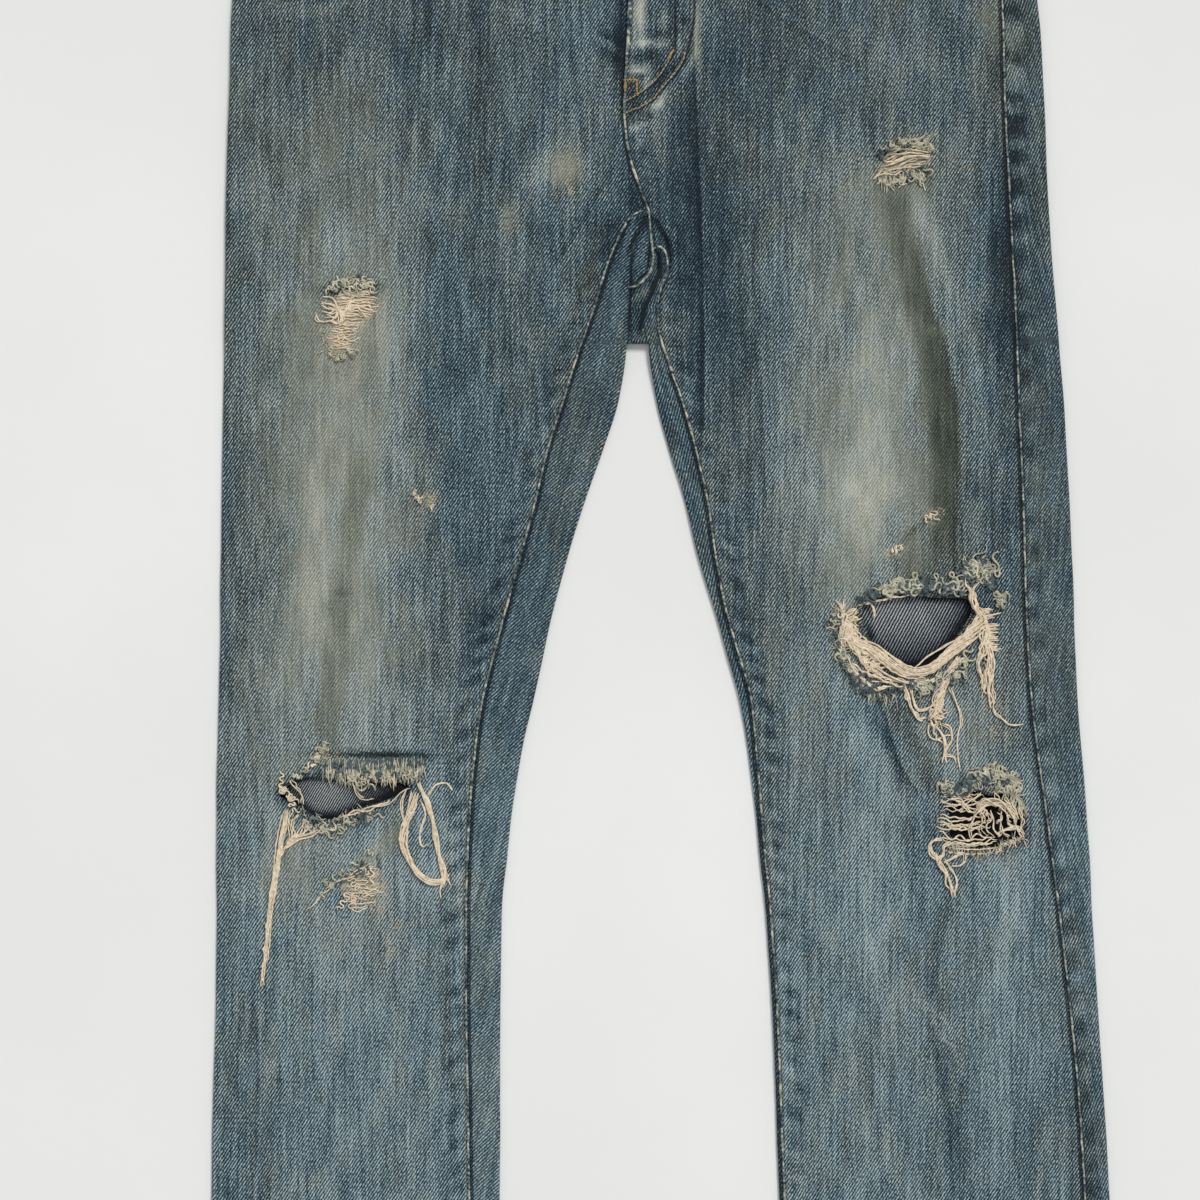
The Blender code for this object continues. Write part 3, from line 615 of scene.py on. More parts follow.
FRONT_STROKES = strokes([
    # Right hip
    (-214, 112, 26, 44, 0, -0.13), (-140, 128, 34, 14, -68, -0.13), (-186, 74, 22, 30, 0, 0.03, 0.2),
    (-97, 80, 9, 100, 0, -0.12), (-40, 60, 30, 80, 0, 0.04, -0.1), (-264, -60, 6, 250, 0, -0.05),
    (-84, 136, 3.5, 22, -60, 0.16), (-66, 130, 3, 20, -50, 0.1), (-110, 112, 4, 24, -62, -0.09),
    (-200, 136, 26, 5, 0, 0.12, 0.2), (-160, 44, 30, 5, -20, 0.07, 0.1),
    # Right thigh
    (-190, -160, 46, 200, -3, 0.3, 0.5), (-222, -200, 20, 170, 0, 0.06, 0.1),
    (-204, -216, 14, 84, -1, 0.1, 0.25), (-156, -110, 13, 90, -6, 0.13, 0.15),
    (-170, -300, 20, 46, 4, 0.05, 0.1), (-166, 30, 30, 60, 8, 0.06, 0.1),
    (-112, -150, 16, 150, -6, -0.04, -0.35), (-82, -200, 18, 150, -12, 0.05, -0.35),
    # (-142, 60) and (-163, -60) are painted shade in the crease trough down the thigh
    (-181, 168, 9, 30, 0, -0.08), (-194, 38, 6, 40, 0, 0.08, 0.3), (-142, 60, 4, 60, 12, -0.07, 0.1),
    (-163, -60, 4, 60, 8, -0.07, 0.1), (-184, -70, 21, 32, 10, 0.06, 0.5), (-172, -180, 20, 160, -2, 0.07),
    (-150, -56, 14, 66, 0, 0.09), (-203, -266, 12, 34, 0, 0.09, 0.1),
    # Right knee
    (-232, -320, 26, 60, 0, 0.12, 0.3), (-224, -415, 24, 26, 0, 0.1, 0.45),
    (-124, -420, 16, 30, 0, 0.12, 0.15), (-132, -183, 6, 8, 0, 0.1, 0.1), (-139, -253, 9, 6, 0, 0.08, 0.1),
    (-188, -242, 6, 2.5, 20, -0.1, 0.5), (-160, -410, 7, 24, 42, 0.1, 0.7),
    # Right shin, ankle and hem
    (-186, -450, 42, 60, 0, 0.07, 0.1), (-234, -590, 7, 120, 0, -0.08, 0.3), (-262, -560, 9, 130, 0, -0.1),
    (-168, -600, 36, 150, 0, 0.04, -0.05), (-250, -610, 14, 66, 0, -0.1), (-176, -622, 12, 30, 0, -0.08),
    (-178, -800, 90, 8, 0, 0.1, 0.2),
    # Beside the fly, and round the crotch
    (-40, 31, 8, 18, 4, 0.2, 0.72), (-51, 27, 17, 13, 0, 0.2, 0.5), (-24, -30, 5, 32, 19, 0.06, 0.75),
    (-80, -4, 5, 12, 8, 0.2, 0.7), (-10, -16, 12, 40, -30, -0.06, -0.2), (-18, 120, 16, 30, 0, 0.06),
    (32, 10, 6, 60, 0, -0.06, -0.1), (22, 30, 4, 40, -10, 0.12), (8, -49, 3, 9, 62, 0.2, 0.8),
    (16.2, -37, 2, 7, 20, 0.14, 0.7), (8.2, -24, 3.2, 12, 10, 0.12, -0.3),
    (45.5, 112, 2, 44, 0, 0.12, 0.35), (52.5, 20, 3, 80, 0, 0.1), (50, -40, 16, 84, 0, -0.16, -0.3),
    # Painted shade where the cloth lies deep: (-19, -22) in the groin, (5, -60) in the seat, (18, -2) over
    # the crotch
    (-19, -22, 8, 30, 19, -0.22, -0.35), (5, -60, 5, 16, 0, -0.16, -0.3), (-6, -36, 7, 30, 12, 0.07, -0.35),
    (18, -2, 30, 34, 0, -0.1, -0.35), (30, -150, 6, 60, 8, 0.12), (0, -60, 60, 130, 0, 0, -0.14),
    # Left hip
    (46, 50, 30, 90, 0, -0.15, 0.05), (90, 100, 40, 40, 0, -0.07), (245, -34, 12, 110, -1, -0.22, -0.1),
    (240, 110, 12, 50, 0, 0.02, 0.3), (232, 124, 5, 22, 0, 0.14, 0.45), (236, 20, 6, 30, 0, -0.08, -0.2),
    (243, -48, 11, 44, 0, -0.18, -0.2),
    # Left thigh
    (140, -120, 40, 150, 4, 0.27, 0.42), (165, -132, 24, 92, 8, 0.24, 0.3), (168, 6, 30, 40, 0, 0.12, 0.2),
    (104, -110, 16, 120, 6, 0.09), (150, -205, 26, 50, 0, 0.14, 0.2), (60, -210, 1.8, 18, -26, 0.28, 0.2),
    (197, -70, 6, 4, 0, 0.14, 0.8), (192, -4, 8, 30, -14, 0.15, 0.1), (206, -44, 8, 30, -20, 0.17, 0.05),
    (224, -96, 7, 34, -8, 0.12), (228, -150, 6, 44, -2, 0.08), (238, -50, 9, 12, -30, 0.12, 0.1),
    (78, -128, 13, 92, -4, -0.09), (178, 32, 20, 20, 0, 0.02, 0.5), (186, -196, 12, 52, 4, 0.16, 0.5),
    # Left knee
    (214, -240, 8, 20, 0, -0.06, 0.6), (212, -330, 26, 44, 0, 0.22, 0.3),
    (150, -326, 14, 50, -14, 0.18, -0.1), (112, -300, 14, 60, 0, 0.08), (196, -193, 5, 4, 0, 0.25, 0.8),
    (172, -216, 6, 3.5, 0, 0.25, 0.8), (172, -225, 1.4, 6, 0, -0.34), (184, -206, 1.4, 8, 50, -0.26),
    # (165, -336) and (174, -362) are painted shade in the crease below the knee rip
    (165, -336, 4.5, 24, -22, -0.24, -0.1), (174, -362, 4, 12, -26, -0.2, 0.1),
    (186, -238, 40, 12, 90, -0.04, 0.3),
    # Left shin, ankle and hem
    (158, -430, 20, 80, 0, 0.13, 0.05), (190, -470, 7, 110, 0, -0.03), (212, -610, 9, 50, 0, -0.18),
    (240, -430, 14, 60, -8, 0.15, 0.1), (240, -540, 8, 110, 0, 0.08), (100, -480, 10, 150, 0, 0.06, -0.05),
    (296, -620, 13, 120, 0, -0.2, 0.25), (204, -536, 1.5, 30, -32, 0.24, 0.2),
    # (205, -458), (197, -508), (204, -556) and (214, -546) are painted shade in the crease down the shin
    (195, -514, 1.5, 12, -50, 0.2, 0.2), (205, -458, 5, 28, 8, -0.14), (197, -508, 5, 24, 2, -0.16),
    (204, -556, 5, 34, -8, -0.14), (282, -450, 8, 150, -2, -0.05), (214, -546, 10, 34, 0, -0.12),
    (262, -610, 14, 66, 0, -0.09), (214, -800, 90, 8, 0, 0.1, 0.2),
])
# Patches of the fly, where it rubs over the zip and its folded edge, and painted shadow beside that edge
FLY_STROKES = strokes([
    # Its painted shadow, and painted shade and light on the wrinkles pulled beside it
    (-7.5, 106, 3.6, 20, 0, -0.558, -0.1), (-5.6, 160, 2.6, 56, 0, -0.496, -0.1),
    (-12, 116, 2.6, 9, -52, -0.403, -0.1), (-14, 105, 2.4, 9, -62, -0.341, -0.1),
    (-13, 112, 1.6, 10, -56, 0.217),
    # Pale patches
    (6, 131, 4.6, 19, 0, 0.62, 0.9), (12, 112, 2.2, 12, 90, 0.496, 0.5), (5, 95.4, 2.8, 7, 90, 0.589, 0.6),
    (10.4, 86, 1.9, 4.6, 14, 0.527, 0.4), (21.5, 78, 2, 5, 24, 0.527, 0.4),
    (17, 71.5, 2.4, 7, 60, 0.527, 0.5), (4, 58, 3.6, 6.5, 70, 0.527, 0.35),
    (7.4, 49, 2.4, 4, 0, 0.434, 0.2), (22, 124, 2.4, 12, 8, 0.341, 0.2), (32, 110, 2.2, 9, 16, 0.341, 0.1),
    # Dark patches
    (9.5, 103.6, 3.8, 9, 90, -0.341, -0.1), (19, 119, 4.2, 8, 90, -0.31, -0.1),
    (34.5, 128, 2.6, 3.4, 0, -0.403), (2.4, 82, 3.6, 12, 0, -0.2635), (13, 66.5, 2.4, 3, 0, -0.248),
    (24, 92, 3, 14, 44, -0.248),
    # Outside its rows
    (43, 122, 2.6, 22, 0, 0.341, 0.6), (38.5, 98, 2.4, 10, 26, 0.465, 0.1),
])
# Blocks that washing has left along the left outseam, from the pocket down: (middle, half height, fade)
SIDE_BLOCKS = [
    (133, 4.2, -0.30), (118, 9, 0.20), (103.5, 2.6, -0.28), (89.5, 9.5, 0.22), (77, 2.4, -0.2),
    (71, 3.6, 0.17), (59, 8, -0.36), (46, 4.2, 0.20), (38.5, 3.4, -0.22), (31, 3.4, 0.18), (19, 5.8, -0.26),
    (8, 4.2, 0.16), (-4, 5, -0.20), (-15, 4, 0.10),
]
BACK_STROKES = strokes([
    # Seat, thighs, knees, calves and the dirt at the heels
    (-110, 20, 60, 70, 10, 0.2, 0.3), (112, 16, 60, 70, -10, 0.2, 0.3),
    (-160, -170, 34, 130, -4, 0.12, 0.2), (160, -180, 34, 130, 6, 0.12, 0.2),
    (-176, -360, 60, 12, 80, 0.1, 0.1), (180, -366, 60, 12, 100, 0.1, 0.1),
    (-176, -560, 30, 120, 0, 0.08, 0.1), (200, -560, 30, 120, 4, 0.08, 0.1),
    (-178, -790, 60, 14, 0, -0.1, 0.6), (214, -790, 60, 14, 0, -0.1, 0.6),
])
# Worn-through patches, where the pale weft shows between the dark warp.
WORN = strokes([
    # Right leg
    (-181, -59, 15, 11, 4, 1.2), (-186, -79, 9, 11, 0, 1.2), (-174, -433, 14, 13, 25, 1),
    (-158, -464, 15, 24, 0, 0.5), (-192, -474, 11, 14, 0, 0.36), (-196, -350, 14, 8, 0, 0.46),
    (-41, 29, 9, 17, 6, 0.16), (-48, 38, 1.7, 6, 3, 0.46), (-42, 43, 1.6, 6, 3, 0.5),
    (-37, 37, 1.8, 8, 3, 0.54), (-33, 30, 1.5, 7, 3, 0.46), (-40, 26, 1.8, 7, 3, 0.54),
    (-47, 25, 1.6, 6, 3, 0.46), (-37, 16, 1.5, 5, 3, 0.44), (-45, 14, 1.4, 5, 3, 0.4),
    (-56, 31, 1.4, 6, 3, 0.42), (-53, 18, 1.4, 5, 3, 0.38), (-62, 24, 1.4, 6, 3, 0.36),
    (-79, -8, 5, 10, 0, 0.28), (-132, -185, 6, 7, 30, 0.6), (-176, -96, 12, 14, 0, 0.4),
    (-177, -518, 5, 5, 0, 0.34),
    # Left leg
    (178, 35, 7, 17, 68, 1.1), (178, 34, 20, 15, 0, 0.42), (218, 33, 7, 9, 0, 0.4),
    (142, 20, 9, 7, 0, 0.34), (186, -268, 46, 32, 0, 0.42), (232, -392, 32, 26, 0, 0.46),
    (168, -404, 18, 8, 0, 0.34), (187, -336, 7, 26, -14, 0.3), (236, -330, 16, 40, 0, 0.36),
    (196, -193, 6, 5, 0, 0.6), (172, -216, 7, 4, 0, 0.6), (176, 138, 10, 4, 0, 0.3),
    (176, 92, 10, 5, 0, 0.3),
])
# Painted shade, where the cloth lies deep between the legs and under and over the rips and patches
PAINTED_SHADE_STROKES = strokes([
    # Between the legs
    (12.6, -52, 1.1, 11, 23, 1), (8.2, -66, 1, 9, 14, 1), (19, -32, 1.3, 8, -4, 1),
    (16.4, -42, 1, 6, 24, 0.9), (0.5, -36, 0.8, 13, 2, 0.9), (-0.6, -62, 0.9, 18, 2, 0.9),
    (3, -14, 0.9, 8, 28, 0.9), (12.2, -24, 0.7, 9, 6, 0.7), (8.2, -38.6, 0.7, 5, 48, 0.7),
    (24.6, -20, 1.2, 9, -10, 0.7), (19.6, -9, 1.1, 9, -28, 0.6), (9, -4, 4.5, 5, 30, 0.3),
    (2, 10, 14, 4.5, 70, 0.22),
    # Under and over the rips and patches
    (-164, -348.6, 1.8, 33, 91, 0.9), (-181, -46.5, 4.4, 18, 86, 0.75), (177, 43, 3.4, 15, 74, 0.5),
    (178, 26, 3.4, 13, 76, 0.5),
])
INSIDE_SHADE = strokes([
    # Right knee
    (-152, -374, 22, 16, 0, 1), (-196, -394, 30, 8, 0, 0.7), (-224, -372, 10, 14, 0, 0.7),
    # Left knee
    (190, -297, 42, 21, 0, 1), (224, -262, 16, 26, 20, 0.9),
    # Left shin
    (230, -392, 40, 30, 0, 2),
])


# Painted shade along broad folds, with an olive cast: (half width, darkening, olive, points from the top
# down)
SHADED_FOLDS = [
    # Left thigh, right thigh, and between the left rips
    (9.4, -0.17, 0.75, [
        (167, 32), (170, 8), (177, -20), (184.5, -49), (198.5, -99), (204, -148), (204.5, -198), (206, -240),
    ]),
    (8.0, -0.10, 0.60, [(-173, -150), (-180, -200), (-187, -252), (-194, -312), (-203, -352)]),
    (6.0, -0.10, 0.20, [(172, -310), (178, -330), (190, -352), (199, -384)]),
]


def shaded_folds_at(x, y):
    """(painted shade, olive cast) that the broad folds add at each point."""
    fade, olive = np.zeros(x.shape), np.zeros(x.shape)
    for half, fold_shade, cast, points in SHADED_FOLDS:
        path = smooth_path(points, 3.0)
        near = close_to(path, 3 * half, x, y)
        if near.any():
            gap, place = signed_gap(path, x[near], y[near])
            gap = np.abs(gap) + 1.2 * field(x[near], y[near], 9, 42, 20)
            ends = ramp(place, 0, 0.12) * (1 - ramp(place, 0.86, 1))
            share = (1 - ramp(gap, 0.55 * half, 1.35 * half)) * ends
            fade[near] += fold_shade * share
            olive[near] += cast * share
    return fade, olive


# Sharp creases, from their upper ends down: (strength, points). Painted shade darkens the cloth towards each
# from the right leg's side; its far side is painted paler, partly as rubbed wear and partly as painted
# light.
SHARP_CREASES = [
    # Beside the fly
    (1.0, [
        (40.5, 140), (41.5, 120), (42.4, 96), (43.4, 66), (45.4, 24), (46.8, -14), (48.0, -53), (48.2, -92),
        (47.4, -138), (45.0, -186),
    ]),
    # Left thigh, right thigh, left knee and left shin
    (0.22, [(178, -6), (188, -32), (197, -60), (209, -100), (214, -131), (215, -183), (214, -220)]),
    (0.25, [(-128, 140), (-140, 62), (-147, 16), (-159, -24), (-165, -90), (-166, -120)]),
    (0.55, [(158, -300), (164, -318), (174, -350), (184, -368), (196, -384)]),
    (0.30, [(210, -420), (207, -440), (202, -482), (196, -509), (202, -552), (208, -590)]),
    # Right groin, right shin, and the left hip's whisker
    (0.45, [(-8, 34), (-20, 14), (-36, -14), (-56, -44)]),
    (0.30, [(-243, -480), (-240, -540), (-241, -600), (-246, -660)]),
    (0.30, [(70, 150), (96, 132), (128, 112), (150, 100)]),
]


def signed_gap(path, x, y):
    """(distance from a path, above zero on its left; share of the path's length) at each point."""
    gaps = (x[..., None] - path[:, 0]) ** 2 + (y[..., None] - path[:, 1]) ** 2
    best = gaps.argmin(axis=-1)
    run = np.gradient(path, axis=0)
    run = (run / np.linalg.norm(run, axis=1)[:, None])[best]
    left = run[..., 0] * (y - path[best, 1]) - run[..., 1] * (x - path[best, 0])
    return left, best / (len(path) - 1)


def sharp_creases(x, y):
    """(distance from the nearest sharp crease, its strength) at each point."""
    away, share = np.full(x.shape, FAR_MM), np.zeros(x.shape)
    for strength, points in SHARP_CREASES:
        path = smooth_path(points, 3.0)
        near = close_to(path, 14, x, y)
        if near.any():
            gap, place = signed_gap(path, x[near], y[near])
            gap = gap + 0.6 * field(y[near], 0 * y[near], 30, 41)
            ends = ramp(place, 0, 0.22) * (1 - ramp(place, 0.78, 1))
            closer = np.abs(gap) < np.abs(away[near])
            away[near] = np.where(closer, gap, away[near])
            share[near] = np.where(closer, strength * ends, share[near])
    return away, share


FLY_ROWS = {
    "outer": [
        (40.6, 188), (40.6, 150), (40.3, 127), (37.8, 114), (32.5, 98), (23, 86), (13.6, 75.4), (4.6, 70),
        (-4, 67),
    ],
    "inner": [
        (27.5, 186), (28.0, 126), (27.6, 108), (24.8, 101), (19.0, 91.5), (12.4, 84.6), (5.2, 79.3),
        (-4, 74.4),
    ],
}


def seam_gap(x, y):
    """Distance from the nearest seam line or stitched row, above zero on the side where its ridge lies."""
    lines = []
    for side, high in (("right", -4), ("left", -99)):
        away, _ = seam_field(side, x, y)
        lines.append(np.where(y < high, away, FAR_MM))
    lines.append(np.where(y < 141, x - curve(STATIONS, "left_outseam", y), FAR_MM))
    lines.append(np.where(y > 4, x - curve(CENTRE, "x", y), FAR_MM))
    rows = np.full(x.shape, FAR_MM)
    near = (x > curve(CENTRE, "x", y)) & (x < 52) & (y > 56) & (y < 186)
    if near.any():
        for row in FLY_ROWS:
            gap, _ = signed_gap(fly_curve(row), x[near], y[near])
            rows[near] = np.where(np.abs(gap) < np.abs(rows[near]), -gap, rows[near])
    lines.append(rows)
    lines = np.stack(lines)
    best = np.abs(lines).argmin(axis=0)
    return np.take_along_axis(lines, best[None], 0)[0]


def strokes_at(strokes, x, y):
    """(fade, olive) that strokes add at each point."""
    fade, olive = np.zeros(x.shape), np.zeros(x.shape)
    for stroke in strokes:
        angle = np.radians(stroke.turn)
        dx, dy = x - stroke.x, y - stroke.y
        across = dx * np.cos(angle) - dy * np.sin(angle)
        along = dx * np.sin(angle) + dy * np.cos(angle)
        share = np.exp(-((across / stroke.width) ** 2) - (np.abs(along / stroke.length) ** 2.6))
        fade += stroke.fade * share
        olive += stroke.olive * share
    return fade, olive


def paint(x, y, top):
    """(fading and painted shade, olive, worn) of the cloth at each point. top is 1 on the top layer and 0
    underneath.
    """
    low = ramp(-y, 250, 450)
    warped_x = x + 2.6 * field(x, y, 14, 21, 18)
    warped_y = y + 5 * field(x, y, 18, 22, 18)
    fade, olive = strokes_at(FRONT_STROKES, warped_x, warped_y)
    fade += 0.455 + 0.16 * low
    olive += 0.24 - 0.17 * low
    fade += 0.04 * field(x, y, 30, 11, 46) + 0.038 * field(x, y, 11, 12, 24)
    fade += 0.055 * field(x, y, 4.5, 13, 11)
    olive += 0.20 * field(x, y, 19, 43, 40) + 0.22 * field(x, y, 7, 44, 13)
    # The fly's patches with its painted shadow, and the painted shade of the broad folds
    on_fly = strokes_at(FLY_STROKES, x + 0.8 * field(x, y, 5, 55, 7), y + 1.2 * field(x, y, 4, 56, 5))
    for more_fade_and_shade, more_olive in (on_fly, shaded_folds_at(x, y)):
        fade += more_fade_and_shade
        olive += more_olive
    # Painted shadow on the facing just above the mouth of each scoop pocket, under the front's edge
    mouth_shadow = ramp(np.abs(x), 112, 124) * ramp(y, 110, 126)
    fade -= 0.30 * mouth_shadow * bell(y - front_top(x) - 1.5, 3.0)
    # Roping and side blocks are wash wear; the dark strokes and the rips' shade are painted shade and shadow
    fade += roping(x, y) + side_blocks(x, y) - strokes_at(PAINTED_SHADE_STROKES, x, y)[0] - 0.38 * rip_shade(x, y)
    worn, _ = strokes_at(WORN, x + 4 * field(x, y, 6, 14), y + 4 * field(x, y, 5, 15))
    worn *= np.clip(1.0 + 0.8 * field(x, y, 3.4, 57, 9), 0.1, 1.8)  # upright freckles
    back_fade, back_olive = strokes_at(BACK_STROKES, warped_x, warped_y)
    back_fade += 0.45 + 0.14 * low + 0.04 * field(x, y, 40, 16, 70) + 0.03 * field(x, y, 10, 17, 24)
    back_olive += 0.20
    return (
        fade * top + back_fade * (1 - top),
        olive * top + back_olive * (1 - top),
        np.clip(worn, 0, 1) * top,
    )


def side_blocks(x, y):
    """Dark and pale blocks beside the left outseam."""
    away = x - curve(STATIONS, "left_outseam", y)
    total = np.zeros(x.shape)
    near = (away > -1) & (away < 24) & (y > -26) & (y < 145)
    if near.any():
        away, x, y = away[near], x[near], y[near]
        ragged = y + 1.6 * field(x, y, 4, 53, 6)
        blocks = 0
        for middle, half, fade in SIDE_BLOCKS:
            blocks = blocks + fade * (1 - ramp(np.abs(ragged - middle), 0.6 * half, 1.15 * half))
        total[near] = blocks * ramp(away, -0.6, 0.4) * (1 - ramp(away + 3 * field(x, y, 5, 54, 7), 8, 15))
    return total


def rip_shade(x, y):
    """The shadow of the curled threads round each rip."""
    total = np.zeros(x.shape)
    for outline in EDGES.values():
        near = close_to(outline, 12, x, y)
        if near.any():
            gap, _ = nearest(outline[::2], x[near], y[near])
            total[near] += bell(gap, 4.6)
    return total


def shade_inside(x, y):
    """Painted shade on the inside of the back, darkest under the lower rim of each rip, where its shadow
    falls.
    """
    total = 0.55 * strokes_at(INSIDE_SHADE, x, y)[0]
    for outline in EDGES.values():
        near = close_to(outline, 6, x, y)
        if near.any():
            gap, rim = nearest(outline, x[near], y[near])
            over_rim = ramp((y[near] - rim[:, 1]) / np.maximum(gap, 0.5), -0.3, 0.7)
            total[near] += 0.85 * bell(gap, 3.0) * (0.2 + 0.8 * over_rim)
    return total


def roping(x, y):
    """Dark and pale blotches beside the seams, where washing has drawn the cloth."""
    total = np.zeros(x.shape)
    low = 1 - ramp(y, -8, 4)
    for side in SIDES:
        away, phase = seam_field(side, x, y)
        ragged = field(x, y, 5, 31, 8)
        blotch = np.clip(-np.sin(phase) * 0.8 + 0.05 + 0.8 * ragged, 0, 1)
        reach = bell(away - 9.5 - 2 * ragged, 4.6)
        total -= 0.30 * blotch * reach * low * (0.75 + 0.4 * field(y, 0 * y, 60, 33))
        total -= 0.05 * bell(away - 9, 7) * low
        pale = np.clip(np.sin(phase) + 0.3 * ragged, 0, 1)
        total += 0.12 * pale * bell(away - 5, 4) * low
    away, phase = outseam_field(x, y)
    ragged = field(x, y, 4, 32, 6)
    blotch = np.clip(-np.sin(phase) + 0.15 + 0.7 * ragged, 0, 1)
    low = 1 - ramp(y, -30, -12)
    total -= 0.16 * low * blotch * bell(away - 5.5, 4)
    total += 0.12 * low * np.clip(np.sin(phase) + 0.3 * ragged, 0, 1) * bell(away - 6, 4.4)
    return total


# Making a piece


def to_frame(points):
    return (np.asarray(points, float) - POCKET_CORNER) * MM + FRAME_CORNER


def to_garment(points):
    return (np.asarray(points, float) - FRAME_CORNER) / MM + POCKET_CORNER


def link_piece(name, data, looks):
    """Puts a finished piece in the scene, riding on the one body."""
    for look in looks:
        data.materials.append(look)
    piece = bpy.data.objects.new(name, data)
    bpy.context.scene.collection.objects.link(piece)
    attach(piece, BODY)
    return piece


def points_in(mesh):
    """The points of a mesh, on the garment."""
    points = np.empty(len(mesh.vertices) * 3, np.float32)
    mesh.vertices.foreach_get("co", points)
    return to_garment(points.reshape(-1, 3))


def grain_of(points, turn):
    """Where each point is on the flat cloth, in metres: girth along the rows, and height."""
    steps = np.linalg.norm(np.diff(points[:, :, [0, 2]], axis=1), axis=2)
    girth = np.concatenate([np.zeros((len(points), 1)), np.cumsum(steps, axis=1)], axis=1)
    middle = points.shape[1] // 2
    along = np.sign(points[0, min(middle + 1, points.shape[1] - 1), 0] - points[0, middle - 1, 0]) or 1.0
    if points[0, middle, 2] < UNDERSIDE_TOP:
        along = -along  # the cloth is seen from below
    u = (girth - girth[:, middle : middle + 1]) * along + points[:, middle : middle + 1, 0]
    v = points[:, :, 1]
    angle = np.radians(turn)
    turned = [u * np.cos(angle) - v * np.sin(angle), u * np.sin(angle) + v * np.cos(angle), 0 * u]
    return np.stack(turned, axis=-1) * MM


def finished(shape, name):
    """The mesh of a bmesh, which is let go."""
    mesh = bpy.data.meshes.new(name)
    shape.to_mesh(mesh)
    shape.free()
    return mesh


def cut_rip(shape, outline):
    """Moves the points beside a rip's outline onto it, and takes out the cloth inside."""
    x, y, z = to_garment([vert.co[:] for vert in shape.verts]).T
    near = close_to(outline, 3, x, y) & (z > BETWEEN_LAYERS)
    chosen = [vert for vert, close in zip(shape.verts, near) if close]
    gap, beside = nearest(outline, x[near], y[near])
    for vert, far, (to_x, to_y), height in zip(chosen, gap, beside, z[near]):
        if far < 0.72 * CELL:
            vert.co = to_frame((to_x, to_y, height))
    faces = list({face for vert in chosen for face in vert.link_faces})
    centres = to_garment([face.calc_center_median() for face in faces])
    gone = inside(outline, centres[:, 0], centres[:, 1])
    bmesh.ops.delete(shape, geom=[face for face, cut in zip(faces, gone) if cut], context="FACES")


def cloth_panel(name, grids, looks, cloth=CLOTH, turn=0.0, rips=(), soften=0.0):
    """A thin shell of cloth with its middle on the grids, which share their edges, painted with its wear and
    with painted shade.
    """
    shape = bmesh.new()
    for points in grids:
        rows, columns = points.shape[:2]
        bmesh.ops.create_grid(shape, x_segments=columns - 1, y_segments=rows - 1, size=1)
    mesh = finished(shape, name)
    places = np.concatenate([to_frame(points).reshape(-1, 3) for points in grids])
    mesh.vertices.foreach_set("co", places.astype(np.float32).ravel())
    grain = np.concatenate([grain_of(points, turn).reshape(-1, 3) for points in grids])
    mesh.attributes.new("grain", "FLOAT_VECTOR", "POINT").data.foreach_set("vector", grain.ravel())

    shape = bmesh.new()
    shape.from_mesh(mesh)
    bmesh.ops.remove_doubles(shape, verts=shape.verts, dist=SAME_POINT)
    bmesh.ops.recalc_face_normals(shape, faces=shape.faces)
    for rip in rips:
        cut_rip(shape, EDGES[rip])
    flat = [face for face in shape.faces if abs(face.normal.z) > 0.9]
    top = max(flat, key=lambda face: face.calc_center_median().z)
    facing_up = name not in UNDERNEATH
    if (top.normal.z > 0) != facing_up:
        bmesh.ops.reverse_faces(shape, faces=shape.faces)
    shape.to_mesh(mesh)
    shape.free()

    x, y, z = points_in(mesh).T
    on_top = ramp(z - under_height(y), 0.3, 1.5)
    away, share = sharp_creases(x, y)
    groove = np.where(on_top > 0.5, seam_gap(x, y), FAR_MM)
    # The first column is fading with painted shade and shadow; deep is the painted shade inside the back
    columns = ("fade", "olive", "worn", "deep", "groove", "crease", "crease_share")
    painted = (*paint(x, y, on_top), shade_inside(x, y), groove, away, share * on_top)
    for column, values in zip(columns, painted):
        mesh.attributes.new(column, "FLOAT", "POINT").data.foreach_set("value", values.astype(np.float32))
    mesh.shade_smooth()
    piece = link_piece(name, mesh, looks)
    wall = piece.modifiers.new("cloth", "SOLIDIFY")
    wall.thickness = cloth * MM
    wall.offset = 0
    wall.material_offset = len(looks) - 1
    if soften:
        edge = piece.modifiers.new("folded edges", "BEVEL")
        edge.width = soften * MM
        edge.segments = 2
        edge.limit_method = "ANGLE"
    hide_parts(name)
    return name, piece, grids


def declare_cloth(piece, grids, rests_on, with_pieces):
    """Works out the size to which the cloth was cut, and keeps it nowhere. A back's first two grids, leg and
    seat, lie end to end.
    """
    area, width, lengths = 0.0, 0.0, []
    for points in grids:
        across = np.linalg.norm(np.diff(points, axis=1), axis=2)
        along = np.linalg.norm(np.diff(points, axis=0), axis=2)
        area += ((across[1:] + across[:-1]) / 2 * (along[:, 1:] + along[:, :-1]) / 2).sum()
        width = max(width, across.sum(axis=1).max())
        lengths.append(along.sum(axis=0).max())
    flat = (round(width, 1) * MM, round(sum(lengths[:2]), 1) * MM)
    area = min(max(area * MM**2, 0.31 * flat[0] * flat[1]), flat[0] * flat[1])
    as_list(with_pieces)


# A loose thread's looks are lit, half-shaded and shaded copies of one yarn: painted light and shade in a
# bundle
LOOK_SHARES = {1: [1.0], 3: [0.48, 0.32, 0.20]}  # how much of a bundle is pale, middling and shaded


